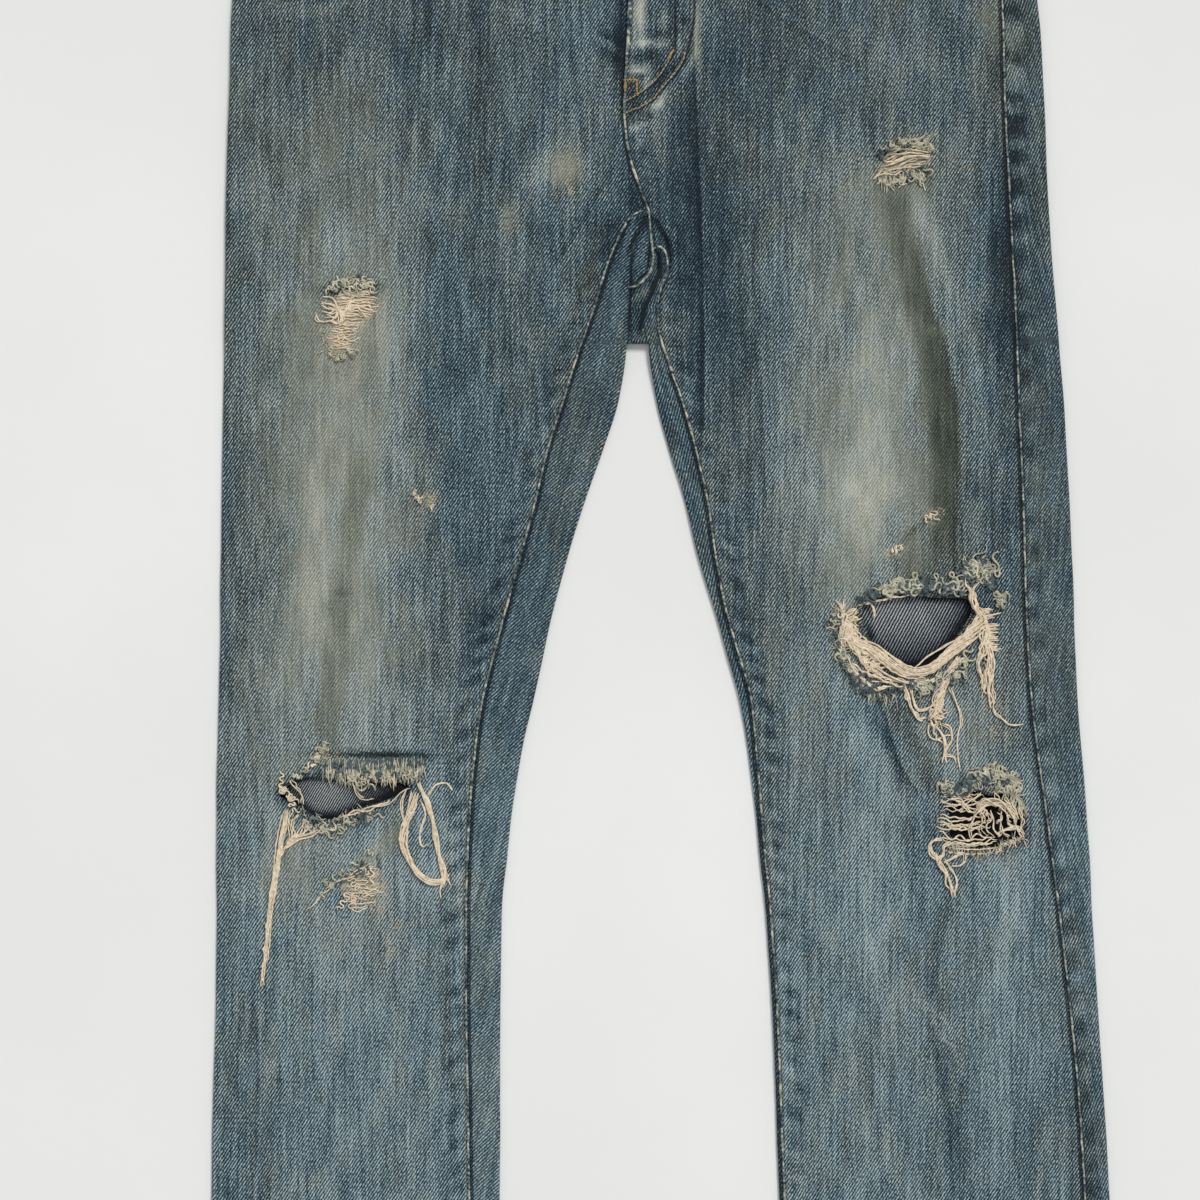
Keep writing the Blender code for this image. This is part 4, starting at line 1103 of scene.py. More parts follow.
def strands_piece(name, strands, looks):
    """Threads as one curve object. Each strand is (points, radii) in millimetres, in one of the looks."""
    chosen = np.random.default_rng(len(strands)).choice(len(looks), len(strands), p=LOOK_SHARES[len(looks)])
    data = bpy.data.curves.new(name, "CURVE")
    data.dimensions = "3D"
    data.bevel_depth = MM
    data.bevel_resolution = 1
    data.use_fill_caps = True
    for (points, radii), number in zip(strands, chosen):
        spline = data.splines.new("POLY")
        spline.material_index = int(number)
        spline.points.add(len(points) - 1)
        places = np.concatenate([to_frame(points), np.ones((len(points), 1))], axis=1)
        spline.points.foreach_set("co", places.ravel())
        spline.points.foreach_set("radius", np.broadcast_to(radii, len(points)).astype(float))
        spline.use_smooth = True
    return link_piece(name, data, looks)


def ends_taper(count, radius, share):
    t = np.linspace(0, 1, count)
    return radius * np.minimum(1, 0.35 + np.minimum(t, 1 - t) / share * 0.65)


# Materials


def join(tree, socket, value):
    if isinstance(value, bpy.types.NodeSocket):
        tree.links.new(value, socket)
    else:
        socket.default_value = value


def maths(tree, operation, *values, clamp=False):
    made = tree.nodes.new("ShaderNodeMath")
    made.operation = operation
    made.use_clamp = clamp
    for socket, value in zip(made.inputs, values):
        join(tree, socket, value)
    return made.outputs[0]


def add_up(tree, *terms):
    """Sum of (value, weight) pairs."""
    total = 0.0
    for value, weight in terms:
        total = maths(tree, "MULTIPLY_ADD", value, weight, total)
    return total


def stretched(tree, vector, scale):
    made = tree.nodes.new("ShaderNodeVectorMath")
    made.operation = "MULTIPLY"
    join(tree, made.inputs[0], vector)
    made.inputs[1].default_value = scale
    return made.outputs[0]


def noise(tree, vector, scale, detail=2.0, roughness=0.5):
    """Smooth noise. scale is how many blotches fit in a metre, or (across, along, deep)."""
    made = tree.nodes.new("ShaderNodeTexNoise")
    if isinstance(scale, tuple):
        vector, scale = stretched(tree, vector, scale), 1.0
    join(tree, made.inputs["Vector"], vector)
    made.inputs["Scale"].default_value = scale
    made.inputs["Detail"].default_value = detail
    made.inputs["Roughness"].default_value = roughness
    return made.outputs["Fac"]


def span(tree, value, low, high, to_low=0.0, to_high=1.0):
    made = tree.nodes.new("ShaderNodeMapRange")
    made.interpolation_type = "SMOOTHSTEP"
    for socket, number in zip(made.inputs, (value, low, high, to_low, to_high)):
        join(tree, socket, number)
    return made.outputs[0]


def linear(colour):
    """A colour as a painter reads it, from 0 to 255, as linear light."""
    share = np.array(colour, float) / 255
    return (*np.where(share <= 0.04045, share / 12.92, ((share + 0.055) / 1.055) ** 2.4), 1.0)


def colours(tree, value, stops):
    made = tree.nodes.new("ShaderNodeValToRGB")
    join(tree, made.inputs[0], value)
    ramp_of = made.color_ramp
    while len(ramp_of.elements) < len(stops):
        ramp_of.elements.new(0.5)
    for element, (place, colour) in zip(ramp_of.elements, stops):
        element.position = place
        element.color = linear(colour)
    return made.outputs[0]


def blend(tree, share, first, second):
    made = tree.nodes.new("ShaderNodeMix")
    made.data_type = "RGBA"
    for number, value in ((0, share), (6, first), (7, second)):
        join(tree, made.inputs[number], value)
    return made.outputs[2]


TEAL = [
    (0.0, (8, 22, 34)), (0.25, (37, 60, 73)), (0.5, (76, 100, 110)), (0.75, (118, 139, 146)),
    (1.0, (180, 194, 196)),
]
OLIVE = [
    (0.0, (24, 32, 31)), (0.25, (63, 71, 64)), (0.5, (103, 109, 99)), (0.75, (148, 152, 141)),
    (1.0, (198, 198, 185)),
]
WEFT = (206, 194, 166)
ENDS_APART = 2.0  # spacing of the twill's ribs across and along the cloth
PICKS_APART = 3.1


def build_twill():
    """Indigo warp over pale weft: ribs, uneven yarns, pale picks where it has worn, and the faded dye."""
    tree = bpy.data.node_groups.new("worn twill", "ShaderNodeTree")
    for way, kind, names in (
        ("INPUT", "Vector", ["Grain"]), ("INPUT", "Float", ["Fade", "Olive", "Worn", "Contrast"]),
        ("OUTPUT", "Color", ["Color"]), ("OUTPUT", "Float", ["Height", "Rib"]),
    ):
        for name in names:
            tree.interface.new_socket(name, in_out=way, socket_type=f"NodeSocket{kind}")
    given = tree.nodes.new("NodeGroupInput").outputs
    result = tree.nodes.new("NodeGroupOutput").inputs
    grain = given["Grain"]
    parts = tree.nodes.new("ShaderNodeSeparateXYZ")
    tree.links.new(grain, parts.inputs[0])
    across = maths(tree, "MULTIPLY", parts.outputs[0], 2 * np.pi / (ENDS_APART * MM))
    along = maths(tree, "MULTIPLY", parts.outputs[1], -2 * np.pi / (PICKS_APART * MM))
    uneven = noise(tree, grain, (240.0, 150.0, 1.0), 2.0)
    angle = add_up(tree, (across, 1.0), (along, 1.0), (uneven, 3.0))
    rib = maths(tree, "SINE", angle)
    yarns = maths(tree, "SINE", maths(tree, "MULTIPLY", across, 4.0))
    slub = noise(tree, grain, (560.0, 26.0, 1.0), 2.0, 0.6)
    band = noise(tree, grain, (240.0, 14.0, 1.0), 2.0)
    speck = noise(tree, grain, (900.0, 600.0, 1.0), 1.0, 0.7)
    picks = noise(tree, grain, (420.0, 1500.0, 1.0), 2.0, 0.6)
    blotch = noise(tree, grain, (60.0, 36.0, 1.0), 4.0, 0.65)
    raised = maths(tree, "MAXIMUM", rib, 0.0)
    pick_share = maths(tree, "MULTIPLY", raised, maths(tree, "SUBTRACT", speck, 0.2))
    spread = [(slub, 0.90), (band, 0.40), (speck, 1.35), (blotch, 0.34)]
    spread = [(maths(tree, "SUBTRACT", value, 0.5), weight) for value, weight in spread]
    uneven_tone = add_up(tree, (rib, 0.24), (pick_share, 0.80), *spread)
    dull = span(tree, maths(tree, "ADD", given["Fade"], given["Olive"]), 0.85, 1.75, 1.12, 0.44)
    contrast = maths(tree, "MULTIPLY", given["Contrast"], dull)
    tone = add_up(tree, (uneven_tone, contrast), (given["Fade"], 1.0), (1.0, -0.14))
    cast = maths(tree, "ADD", given["Olive"], 0.0, clamp=True)
    dyed = blend(tree, cast, colours(tree, tone, TEAL), colours(tree, tone, OLIVE))
    bare = add_up(tree, (picks, 1.0), (rib, 0.06), (given["Worn"], 0.42))
    pale = span(tree, bare, 0.70, 0.84)
    weft = blend(tree, speck, linear((150, 142, 122)), linear(WEFT))
    tree.links.new(blend(tree, pale, dyed, weft), result["Color"])
    height = add_up(tree, (rib, 0.32), (yarns, 0.10), (speck, 0.6), (slub, 0.5), (picks, 0.3))
    tree.links.new(height, result["Height"])
    tree.links.new(rib, result["Rib"])
    return tree


def new_material(name, roughness=0.92, metallic=0.0, sheen=0.0):
    made = bpy.data.materials.new(name)
    made.use_nodes = True
    shader = made.node_tree.nodes["Principled BSDF"]
    shader.inputs["Roughness"].default_value = roughness
    shader.inputs["Metallic"].default_value = metallic
    shader.inputs["Specular IOR Level"].default_value = 0.25
    shader.inputs["Sheen Weight"].default_value = sheen
    shader.inputs["Sheen Roughness"].default_value = 0.6
    return made, made.node_tree, shader.inputs


def bumped(tree, inputs, height, depth, strength=1.0):
    made = tree.nodes.new("ShaderNodeBump")
    made.inputs["Strength"].default_value = strength
    made.inputs["Distance"].default_value = depth * MM
    join(tree, made.inputs["Height"], height)
    tree.links.new(made.outputs[0], inputs["Normal"])


def attribute(tree, name):
    made = tree.nodes.new("ShaderNodeAttribute")
    made.attribute_name = name
    return made.outputs


def object_place(tree):
    return tree.nodes.new("ShaderNodeTexCoord").outputs["Object"]


def lines_shade(tree):
    """Painted shade in lines beside the seams and stitched rows, and painted shade and light on either side
    of sharp creases.
    """
    groove = attribute(tree, "groove")["Fac"]
    crease = attribute(tree, "crease")["Fac"]
    share = attribute(tree, "crease_share")["Fac"]
    deep = span(tree, maths(tree, "ABSOLUTE", maths(tree, "ADD", groove, 0.95)), 0.3, 1.3, 1.0, 0.0)
    thin = span(tree, maths(tree, "ABSOLUTE", maths(tree, "SUBTRACT", groove, 2.1)), 0.1, 0.8, 1.0, 0.0)
    fall = add_up(tree, (span(tree, crease, -5.0, -0.5), 0.7), (span(tree, crease, -14.0, -1.0), 0.3))
    before = maths(tree, "MULTIPLY", fall, span(tree, crease, -0.6, 0.7, 1.0, 0.0))
    after = maths(tree, "MULTIPLY", span(tree, crease, -0.5, 0.6), span(tree, crease, 1.0, 8.0, 1.0, 0.0))
    folded = add_up(tree, (before, -0.34), (after, 0.10))
    return add_up(tree, (deep, -0.46), (thin, -0.22), (folded, share))


def twilled(tree, twill, grain, contrast):
    """The twill on a panel's own grain."""
    group = tree.nodes.new("ShaderNodeGroup")
    group.node_tree = twill
    join(tree, group.inputs["Grain"], grain)
    group.inputs["Contrast"].default_value = contrast
    return group


def denim(name, twill, shift=0.0, contrast=1.0):
    """Denim whose fading, olive cast and wear are painted on the panel, with painted shade in folds and
    beside seams.
    """
    made, tree, inputs = new_material(name, sheen=0.08)
    group = twilled(tree, twill, attribute(tree, "grain")["Vector"], contrast)
    # Fading and painted shade from the panel, with the painted shade of the seam and crease lines
    fade = add_up(tree, (attribute(tree, "fade")["Fac"], 1.0), (lines_shade(tree), 1.0), (1.0, shift))
    join(tree, group.inputs["Fade"], fade)
    join(tree, group.inputs["Olive"], attribute(tree, "olive")["Fac"])
    join(tree, group.inputs["Worn"], attribute(tree, "worn")["Fac"])
    join(tree, inputs["Base Color"], group.outputs["Color"])
    bumped(tree, inputs, group.outputs["Height"], 0.22)
    return made


def denim_reverse(twill):
    """The inside of the cloth, where pale weft floats over the indigo."""
    made, tree, inputs = new_material("denim reverse", sheen=0.05)
    grain = stretched(tree, attribute(tree, "grain")["Vector"], (-1.05, 1.05, 1.0))
    rib = twilled(tree, twill, grain, 1.0).outputs["Rib"]
    speck = noise(tree, grain, (900.0, 900.0, 1.0), 2.0)
    tone = add_up(tree, (rib, 0.46), (speck, 0.9), (noise(tree, grain, 60.0), 0.3), (1.0, -0.12))
    # Painted shade and shadow on the inside, from shade_inside
    tone = maths(tree, "SUBTRACT", tone, attribute(tree, "deep")["Fac"])
    stops = [(0.0, (10, 12, 16)), (0.35, (62, 72, 84)), (0.65, (122, 129, 134)), (1.0, (196, 197, 192))]
    join(tree, inputs["Base Color"], colours(tree, tone, stops))
    bumped(tree, inputs, rib, 0.15)
    return made


def yarn(name, stops, size=420.0):
    """Thread whose colour runs from dark to pale in noise: painted shade in its hollows, painted highlight
    on its crowns.
    """
    made, tree, inputs = new_material(name, roughness=0.95, sheen=0.15)
    place = object_place(tree)
    shade = add_up(tree, (noise(tree, place, size, 2.0), 0.6), (noise(tree, place, size * 5, 1.0), 0.4))
    join(tree, inputs["Base Color"], colours(tree, shade, stops))
    bumped(tree, inputs, noise(tree, place, size * 6, 1.0), 0.12)
    return made


def ridge_denim():
    """The worn top of a seam: pale where it rubs, dark between the puckers, with the weave across it."""
    made, tree, inputs = new_material("worn seam ridge")
    place = object_place(tree)
    shade = add_up(
        tree,
        (noise(tree, place, (120.0, 80.0, 20.0), 3.0, 0.6), 1.3),
        (noise(tree, place, (260.0, 420.0, 100.0), 1.0), 1.3),
        (noise(tree, place, (600.0, 900.0, 300.0), 2.0, 0.7), 0.9),
        (1.0, -1.24),
    )
    stops = [(0.2, (42, 58, 68)), (0.42, (94, 110, 113)), (0.6, (146, 154, 146)), (0.82, (204, 202, 182))]
    join(tree, inputs["Base Color"], colours(tree, shade, stops))
    bumped(tree, inputs, noise(tree, place, 1300.0, 1.0), 0.4)
    return made


def old_brass():
    made, tree, inputs = new_material("old brass", roughness=0.4, metallic=1.0)
    place = object_place(tree)
    tarnish = noise(tree, place, 420.0, 4.0)
    stops = [(0.3, (74, 56, 34)), (0.5, (132, 104, 62)), (0.75, (176, 146, 92))]
    join(tree, inputs["Base Color"], colours(tree, tarnish, stops))
    join(tree, inputs["Roughness"], span(tree, tarnish, 0.3, 0.75, 0.62, 0.34))
    bumped(tree, inputs, noise(tree, place, 1500.0, 2.0), 0.06)
    return made


# The panels


def points_of(x, y, z):
    """Points from x, y and z, any of which may be one number or one row."""
    return np.stack(np.broadcast_arrays(x, y, z), axis=-1)


def make_fronts(looks):
    right = [
        Strip("under", "right", right_turn(-1), centre_of("right", "outer"), 6),
        Strip("outer", "right", np.pi, 0.0, FOLD_STEPS),
        Strip("top", "right", centre_of("right", "outer"), inner_seam("right", -1), int(262 / CELL)),
    ]
    left = [Strip("top", "left", inner_seam("left", 1), seam(STATIONS, "left_outseam", -1), int(236 / CELL))]
    for side, strips, rips in (("right", right, ["right_knee"]), ("left", left, ["left_knee", "left_shin"])):
        rows = rows_from(HEM_Y + HEM_TURN + 3, PANEL_TOP_Y)[1:]
        above = between(at(PANEL_TOP_Y), front_top, 48, first=1)
        body = [grid(strips, part, height=front_height) for part in (level(rows), above)]
        grids = [np.concatenate([hem_grid(strips), *body])]
        yield cloth_panel(f"{side}_front", grids, looks, rips=rips)


def crotch_parts(side, shift, steps):
    """The cloth between the legs: a tongue on top, the fold under it, and the edge of the seat behind."""
    line = crotch_line()
    radius = fold_radius("inner", line)
    edge = seam(CROTCH, "seat_seam", shift)
    corner = float(fold_centre(side, "inner", line))
    seam_x = float(edge(CROTCH_Y))
    share = np.linspace(0, 1, (8 if side == "right" else 22) + 1)
    heights = np.array(rows_from(line, -0.5, 0.8))[:, None]
    inseam = seam(CROTCH, f"{side}_inseam", -shift)
    split = (corner - float(inseam(CROTCH_Y))) / (seam_x - float(inseam(CROTCH_Y)))
    outer_x = inseam(heights) + (edge(heights) - inseam(heights)) * split * np.linspace(0, 1, steps + 1)
    start = seam(STATIONS, f"{side}_inseam", -shift)(np.array([[line]]))
    outer_x[0] = (start + (corner - start) * np.linspace(0, 1, steps + 1))[0]
    inner_x = outer_x[:, -1:] + (edge(heights) - outer_x[:, -1:]) * share[1:]
    x = np.concatenate([outer_x, inner_x], axis=1)
    y = heights + 0 * x
    tongue = points_of(x, y, seat_height(x, y))

    turn = np.linspace(0, np.pi, FOLD_STEPS + 1)
    across = (corner + (seam_x - corner) * share)[:, None]
    half = (seat_height(across, line + 0 * across) - under_height(line)) / 2
    bridge = points_of(across, line - radius * np.sin(turn), under_height(line) + half + half * np.cos(turn))
    bridge[0, :, 0] = corner + fold_direction(side, "inner") * radius * np.sin(turn)
    return tongue, bridge.transpose(1, 0, 2), seam_x, share


def make_backs(looks):
    """Each back runs from its inseam on the top layer, round the inner fold, to its outseam."""
    right_leg = [
        Strip("top", "right", seam(STATIONS, "right_inseam", 1), centre_of("right", "inner"), 34),
        Strip("inner", "right", 0.0, np.pi, FOLD_STEPS),
    ]
    right_seat = [Strip("under", "right", centre_of("right", "inner"), right_turn(1), 46)]
    left_leg = [
        Strip("top", "left", seam(STATIONS, "left_inseam", -1), centre_of("left", "inner"), 14),
        Strip("inner", "left", 0.0, np.pi, FOLD_STEPS),
    ]
    left_seat = [
        Strip("under", "left", centre_of("left", "inner"), centre_of("left", "outer"), 50),
        Strip("outer", "left", np.pi, 0.0, FOLD_STEPS),
        Strip("top", "left", centre_of("left", "outer"), seam(STATIONS, "left_outseam", 1), 12),
    ]
    line = crotch_line()
    rows = rows_from(HEM_Y + HEM_TURN + 3, line)
    fold_y = line - fold_radius("inner", line) * np.sin(np.linspace(0, np.pi, FOLD_STEPS + 1))
    above = between(at(PANEL_TOP_Y), lambda x: yoke_seam(x) - SEAM_GAP, 22, first=1)
    for side, leg, seat, shift, turn in (
        ("right", right_leg, right_seat, -1, 14), ("left", left_leg, left_seat, 1, -8),
    ):
        strips = leg + seat
        leg_part = np.concatenate([hem_grid(strips), grid(strips, level(rows[1:]), height=seat_height)])
        first = leg[0].steps
        leg_part[-1, first : first + FOLD_STEPS + 1, 1] = fold_y
        tongue, bridge, seam_x, share = crotch_parts(side, shift, first)
        seat_rows = level(rows_from(line, PANEL_TOP_Y, 3.2))
        seat_part = np.concatenate([grid(seat, part, height=seat_height) for part in (seat_rows, above)])
        edge_y = seat_part[:, :1, 1]
        edge_x = seam_x + (seat_part[:, :1, 0] - seam_x) * share
        seat_edge = points_of(edge_x, edge_y, under_height(edge_y))
        grids = [leg_part, seat_part, tongue, bridge, seat_edge]
        yield cloth_panel(f"{side}_back", grids, looks, turn=turn)


def make_yokes(looks):
    rows = between(yoke_seam, at(BAND_Y - SEAM_GAP), 16)
    right = [Strip("under", "right", at(0.35), right_turn(1), 70)]
    left = [
        Strip("under", "left", at(0.65), centre_of("left", "outer"), 70),
        Strip("outer", "left", np.pi, 0.0, FOLD_STEPS),
        Strip("top", "left", centre_of("left", "outer"), seam(STATIONS, "left_outseam", 1), 8),
    ]
    for side, strips in (("right", right), ("left", left)):
        yield cloth_panel(f"{side}_yoke", [grid(strips, rows)], looks, turn=6)


def facing_foot(x):
    """Lower edge of a pocket facing: under the front, and level with its mouth beside the side seam."""
    level_part = front_top(x) + 2 * SEAM_GAP
    across = np.clip((MOUTH_X - np.abs(x)) / (MOUTH_WIDTH + FACING_OVERLAP), 0, 1)
    under_part = BAND_Y - (MOUTH_DEPTH + FACING_OVERLAP) * np.sqrt(1 - across**2)
    share = ramp(MOUTH_X - np.abs(x), 30, 54)
    return level_part + (under_part - level_part) * share


def make_pocket_facings(looks):
    """The denim that shows in each scoop pocket, and runs a little way under the front."""
    rows = between(facing_foot, lambda x: band_edge(x) - SEAM_GAP, 26)
    right = [
        Strip("under", "right", right_turn(-1), centre_of("right", "outer"), 3),
        Strip("outer", "right", np.pi, 0.0, FOLD_STEPS),
        Strip("top", "right", centre_of("right", "outer"), at(-FACING_EDGE), 50),
    ]
    left = [Strip("top", "left", at(FACING_EDGE), seam(STATIONS, "left_outseam", -1), 44)]
    for side, strips in (("right", right), ("left", left)):
        grids = [grid(strips, rows, height=plain_height)]
        yield cloth_panel(f"{side}_pocket_facing", grids, looks)


POCKET_WIDTH, POCKET_FOOT, POCKET_HEIGHT, POCKET_POINT = 150.0, 130.0, 160.0, 18.0
POCKET_MIDDLE, POCKET_TOP = 118.0, 135.0


def pocket_points(middle, across, up):
    """Points of a back pocket: across from -1 to 1, up from 0 to 1."""
    half = (POCKET_FOOT + (POCKET_WIDTH - POCKET_FOOT) * up) / 2
    foot = POCKET_TOP - POCKET_HEIGHT + POCKET_POINT * np.abs(across)
    x = middle + across * half
    y = foot + (POCKET_TOP - foot) * up
    return x, y


def make_back_pockets(looks):
    up, across = np.meshgrid(np.linspace(0, 1, 41), np.linspace(-1, 1, 39), indexing="ij")
    for side, middle in (("right", -POCKET_MIDDLE), ("left", POCKET_MIDDLE)):
        x, y = pocket_points(middle, across, up)
        grids = [points_of(x, y, 0.6 + 0.12 * field(x, y, 22, 41))]
        yield cloth_panel(f"{side}_back_pocket", grids, looks)


def make_waistband(looks):
    """One strip of double cloth, from the end under the lap, round the back, to the end on top."""
    radius = (BAND_WALL + BAND_LAYER_GAP) / 2
    middle = BAND_MIDDLE + radius
    turn = np.linspace(0, np.pi, FOLD_STEPS + 1)
    rows = []
    for y in BAND_Y + (WAIST_Y - BAND_Y) * np.linspace(0, 1, 17):
        right = float(curve(STATIONS, "right_outer", y)) + radius + BAND_WALL / 2
        left = float(curve(STATIONS, "left_outer", y)) - radius - BAND_WALL / 2
        under_lap = np.linspace(BAND_LAP[1], right, 90)
        back = np.linspace(right, left, 120)[1:-1]
        over_lap = np.linspace(left, BAND_LAP[0], 96)
        over_z = middle + radius + lap_lift(over_lap)
        at_y = y + 0 * over_lap
        wave = 0.22 * field(over_lap, at_y, 26, 51) + 0.15 * field(over_lap, at_y, 8, 52)
        x = [under_lap, right - radius * np.sin(turn[1:]), back, left + radius * np.sin(turn), over_lap[1:]]
        z = [
            np.full(len(under_lap), middle + radius),
            middle + radius * np.cos(turn[1:]),
            np.full(len(back), middle - radius),
            middle - radius * np.cos(turn),
            (over_z + np.abs(wave))[1:],
        ]
        x, z = np.concatenate(x), np.concatenate(z)
        rows.append(points_of(x, y - np.where(z > middle, BAND_Y - band_edge(x), 0), z))
    grids = [np.array(rows)]
    yield cloth_panel("waistband", grids, looks, cloth=BAND_CLOTH, turn=90, soften=0.6)


LOOP_WIDTH = 12.0
LOOP_END = 9.0


def lap_lift(x):
    """How far the waistband's upper end stands over its lower end, on x from the lap outwards."""
    return BAND_LAP_LIFT * (1 - ramp(x, BAND_LAP[1] + 4, 62))


def band_top(x):
    """Height of the outside of the waistband on top."""
    return BAND_TOP_MIDDLE + lap_lift(x) * (x > BAND_LAP[0]) + BAND_CLOTH / 2


def loop_path(name, x):
    """(height on the garment, height over the surface) of points along a belt loop."""
    if not name.endswith("front"):
        return [(BAND_Y - LOOP_END, 0.62), (BAND_Y, 0.6), (WAIST_Y - 6, 0.6), (WAIST_Y + 1, 0.62)]
    low = float(band_edge(x))
    high = low + WAIST_Y - BAND_Y
    rests = float(front_height(np.array(x), np.array(low - LOOP_END))) + WALL
    over = BAND_TOP_MIDDLE + (BAND_WALL + WALL) / 2
    return [
        (low - LOOP_END, rests), (low - 4, max(rests, over) + 0.1), (low + 3, over + 0.7),
        ((low + high) / 2, over + 0.9), (high - 4, over + 0.6), (high + 1, over),
    ]


LOOPS = [
    ("right_front", -LOOP_X), ("left_front", LOOP_X), ("right_back", -BACK_LOOP_X), ("centre_back", 0.0),
    ("left_back", BACK_LOOP_X),
]


def make_belt_loops(looks):
    for name, x in LOOPS:
        path = smooth_path(loop_path(name, x), 1.5)
        across = np.linspace(-LOOP_WIDTH / 2, LOOP_WIDTH / 2, 9)
        crown = 0.25 * (1 - (across / (LOOP_WIDTH / 2)) ** 2) if name.endswith("front") else 0 * across
        grids = [points_of(x + across, path[:, :1], path[:, 1:] + crown)]
        yield cloth_panel(f"{name}_belt_loop", grids, looks, cloth=1.1, soften=0.3)


def band_middle_y():
    """Middle of the waistband beside the button."""
    return float(band_edge(BUTTON_X)) + (WAIST_Y - BAND_Y) / 2


def make_button(look):
    """A plain tack button: rolled rim, sunk ring and a low dome."""
    profile = [
        (0, 0), (6, 0), (6, 0.8), (4, 1.0), (4, 1.7), (7.6, 1.8), (8.3, 2.1), (8.5, 2.6), (8.2, 3.0),
        (7.5, 3.2), (7.0, 3.1), (6.7, 2.8), (6.3, 2.7), (5.9, 2.9), (5.4, 3.2), (4, 3.35), (2, 3.45),
        (0, 3.5),
    ]
    seat = BAND_TOP_MIDDLE + BAND_LAP_LIFT + BAND_WALL / 2 + 0.3
    centre = to_frame((BUTTON_X, band_middle_y(), seat))
    shape = bmesh.new()
    line = [shape.verts.new(centre + np.array([r, 0, z]) * MM) for r, z in profile]
    edges = [shape.edges.new(pair) for pair in zip(line[:-1], line[1:])]
    bmesh.ops.spin(
        shape, geom=line + edges, cent=centre, axis=(0, 0, 1), angle=2 * np.pi, steps=40, use_merge=True
    )
    bmesh.ops.remove_doubles(shape, verts=shape.verts, dist=0.00001)
    bmesh.ops.recalc_face_normals(shape, faces=shape.faces)
    mesh = finished(shape, "waist_button")
    mesh.shade_smooth()
    mesh.set_sharp_from_angle(angle=0.9)
    piece = link_piece("tack_button", mesh, [look])
    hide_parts("waist_button")


# Seams and stitches


def stitch_shape():
    """One stitch, lying along x, with a few faces: unit length, unit radius."""
    shape = bmesh.new()
    bmesh.ops.create_uvsphere(shape, u_segments=5, v_segments=4, radius=1)
    points = np.array([vert.co[:] for vert in shape.verts])[:, [2, 1, 0]]
    points[:, 0] /= 2
    faces = [[vert.index for vert in face.verts] for face in shape.faces]
    shape.free()
    return points, faces


def stitch_row(path, heights, pitch=PITCH, length=STITCH, skew=0.0):
    """(centre, direction, length) of each stitch along a path. skew turns each stitch across the row."""
    path = np.asarray(path, float)
    run = run_along(path)
    count = max(int(run[-1] / pitch), 1)
    s = (np.arange(count) + 0.5) * run[-1] / count
    jitter = np.random.default_rng(count).normal(0, 0.12, (count, 2))

    def on_path(s):
        return np.column_stack([np.interp(s, run, path[:, 0]), np.interp(s, run, path[:, 1])])

    plan = on_path(s) + jitter
    ends = [on_path(s + half) for half in (-length / 2, length / 2)]
    ends = [np.column_stack([end, heights(end[:, 0], end[:, 1])]) for end in ends]
    direction = ends[1] - ends[0]
    direction /= np.linalg.norm(direction, axis=1)[:, None]
    if skew:
        turned = np.column_stack([-direction[:, 1], direction[:, 0], 0 * direction[:, 0]])
        direction = direction * np.cos(skew) + turned * np.sin(skew)
    centre = np.column_stack([plan, (ends[0][:, 2] + ends[1][:, 2]) / 2])
    return centre, direction, np.full(count, length)


def stitches_piece(name, rows, look, radius, drop):
    """Rows of stitches as one mesh. drop is the share that has worn away."""
    centre, direction, length = (np.concatenate(parts) for parts in zip(*rows))
    rng = np.random.default_rng(1)
    if drop:
        kept = rng.random(len(centre)) > drop
        centre, direction, length = centre[kept], direction[kept], length[kept]
    points, faces = stitch_shape()
    side = np.cross((0, 0, 1), direction)
    side /= np.linalg.norm(side, axis=1)[:, None]
    up = np.cross(direction, side)
    size = radius * rng.uniform(0.85, 1.15, len(centre))
    made = (
        centre[:, None]
        + direction[:, None] * points[None, :, :1] * length[:, None, None]
        + side[:, None] * points[None, :, 1:2] * size[:, None, None]
        + up[:, None] * points[None, :, 2:] * size[:, None, None] * 0.8
    )
    mesh = bpy.data.meshes.new(name)
    starts = range(0, len(centre) * len(points), len(points))
    every = [[index + start for index in face] for start in starts for face in faces]
    mesh.from_pydata(to_frame(made.reshape(-1, 3)), [], every)
    mesh.shade_smooth()
    return link_piece(name, mesh, [look])


def on_top(lift, height=front_height):
    return lambda x, y: height(x, y) + CLOTH / 2 + lift


def on_underside(lift=0.05):
    return lambda x, y: under_height(y) - CLOTH / 2 - lift


def on_path(path, lift):
    """Over or under a belt loop, whose path is (height on the garment, height over the surface)."""
    return lambda x, y: np.interp(y, path[:, 0], path[:, 1]) + lift


def seam_line(edge, low, high):
    """Points along a seam, from low to high."""
    y = np.array(rows_from(low, high, 2.0))
    return np.column_stack([edge(y), y])


def ridge(path, heights, radius):
    """The strand that stands for the worn ridge of a seam."""
    x, y = path.T
    path = path + (0.22, 0) * field(y, x, 4, 62)[:, None]
    x, y = path.T
    z = heights(x, y) + 0.1 * field(y, x, 3, 63)
    return np.column_stack([path, z]), radius * (1 + 0.25 * field(y, x, 9, 61) + 0.2 * field(y, x, 3, 64))


def fly_curve(row):
    """The fly's outer or inner row of topstitching, with its curved foot."""
    return smooth_path(FLY_ROWS[row], 1.5)


def mouth_curve(side, away):
    x = (-1 if side == "right" else 1) * np.linspace(118, 232, 60)
    return np.column_stack([x, front_top(x) - away])


RIGHT_INSEAM_END = [(-3.4, -4.5), (0.0, -0.8), (4.4, 2.2), (8.4, 3.4), (11.4, 2.6), (12.6, 0.5)]


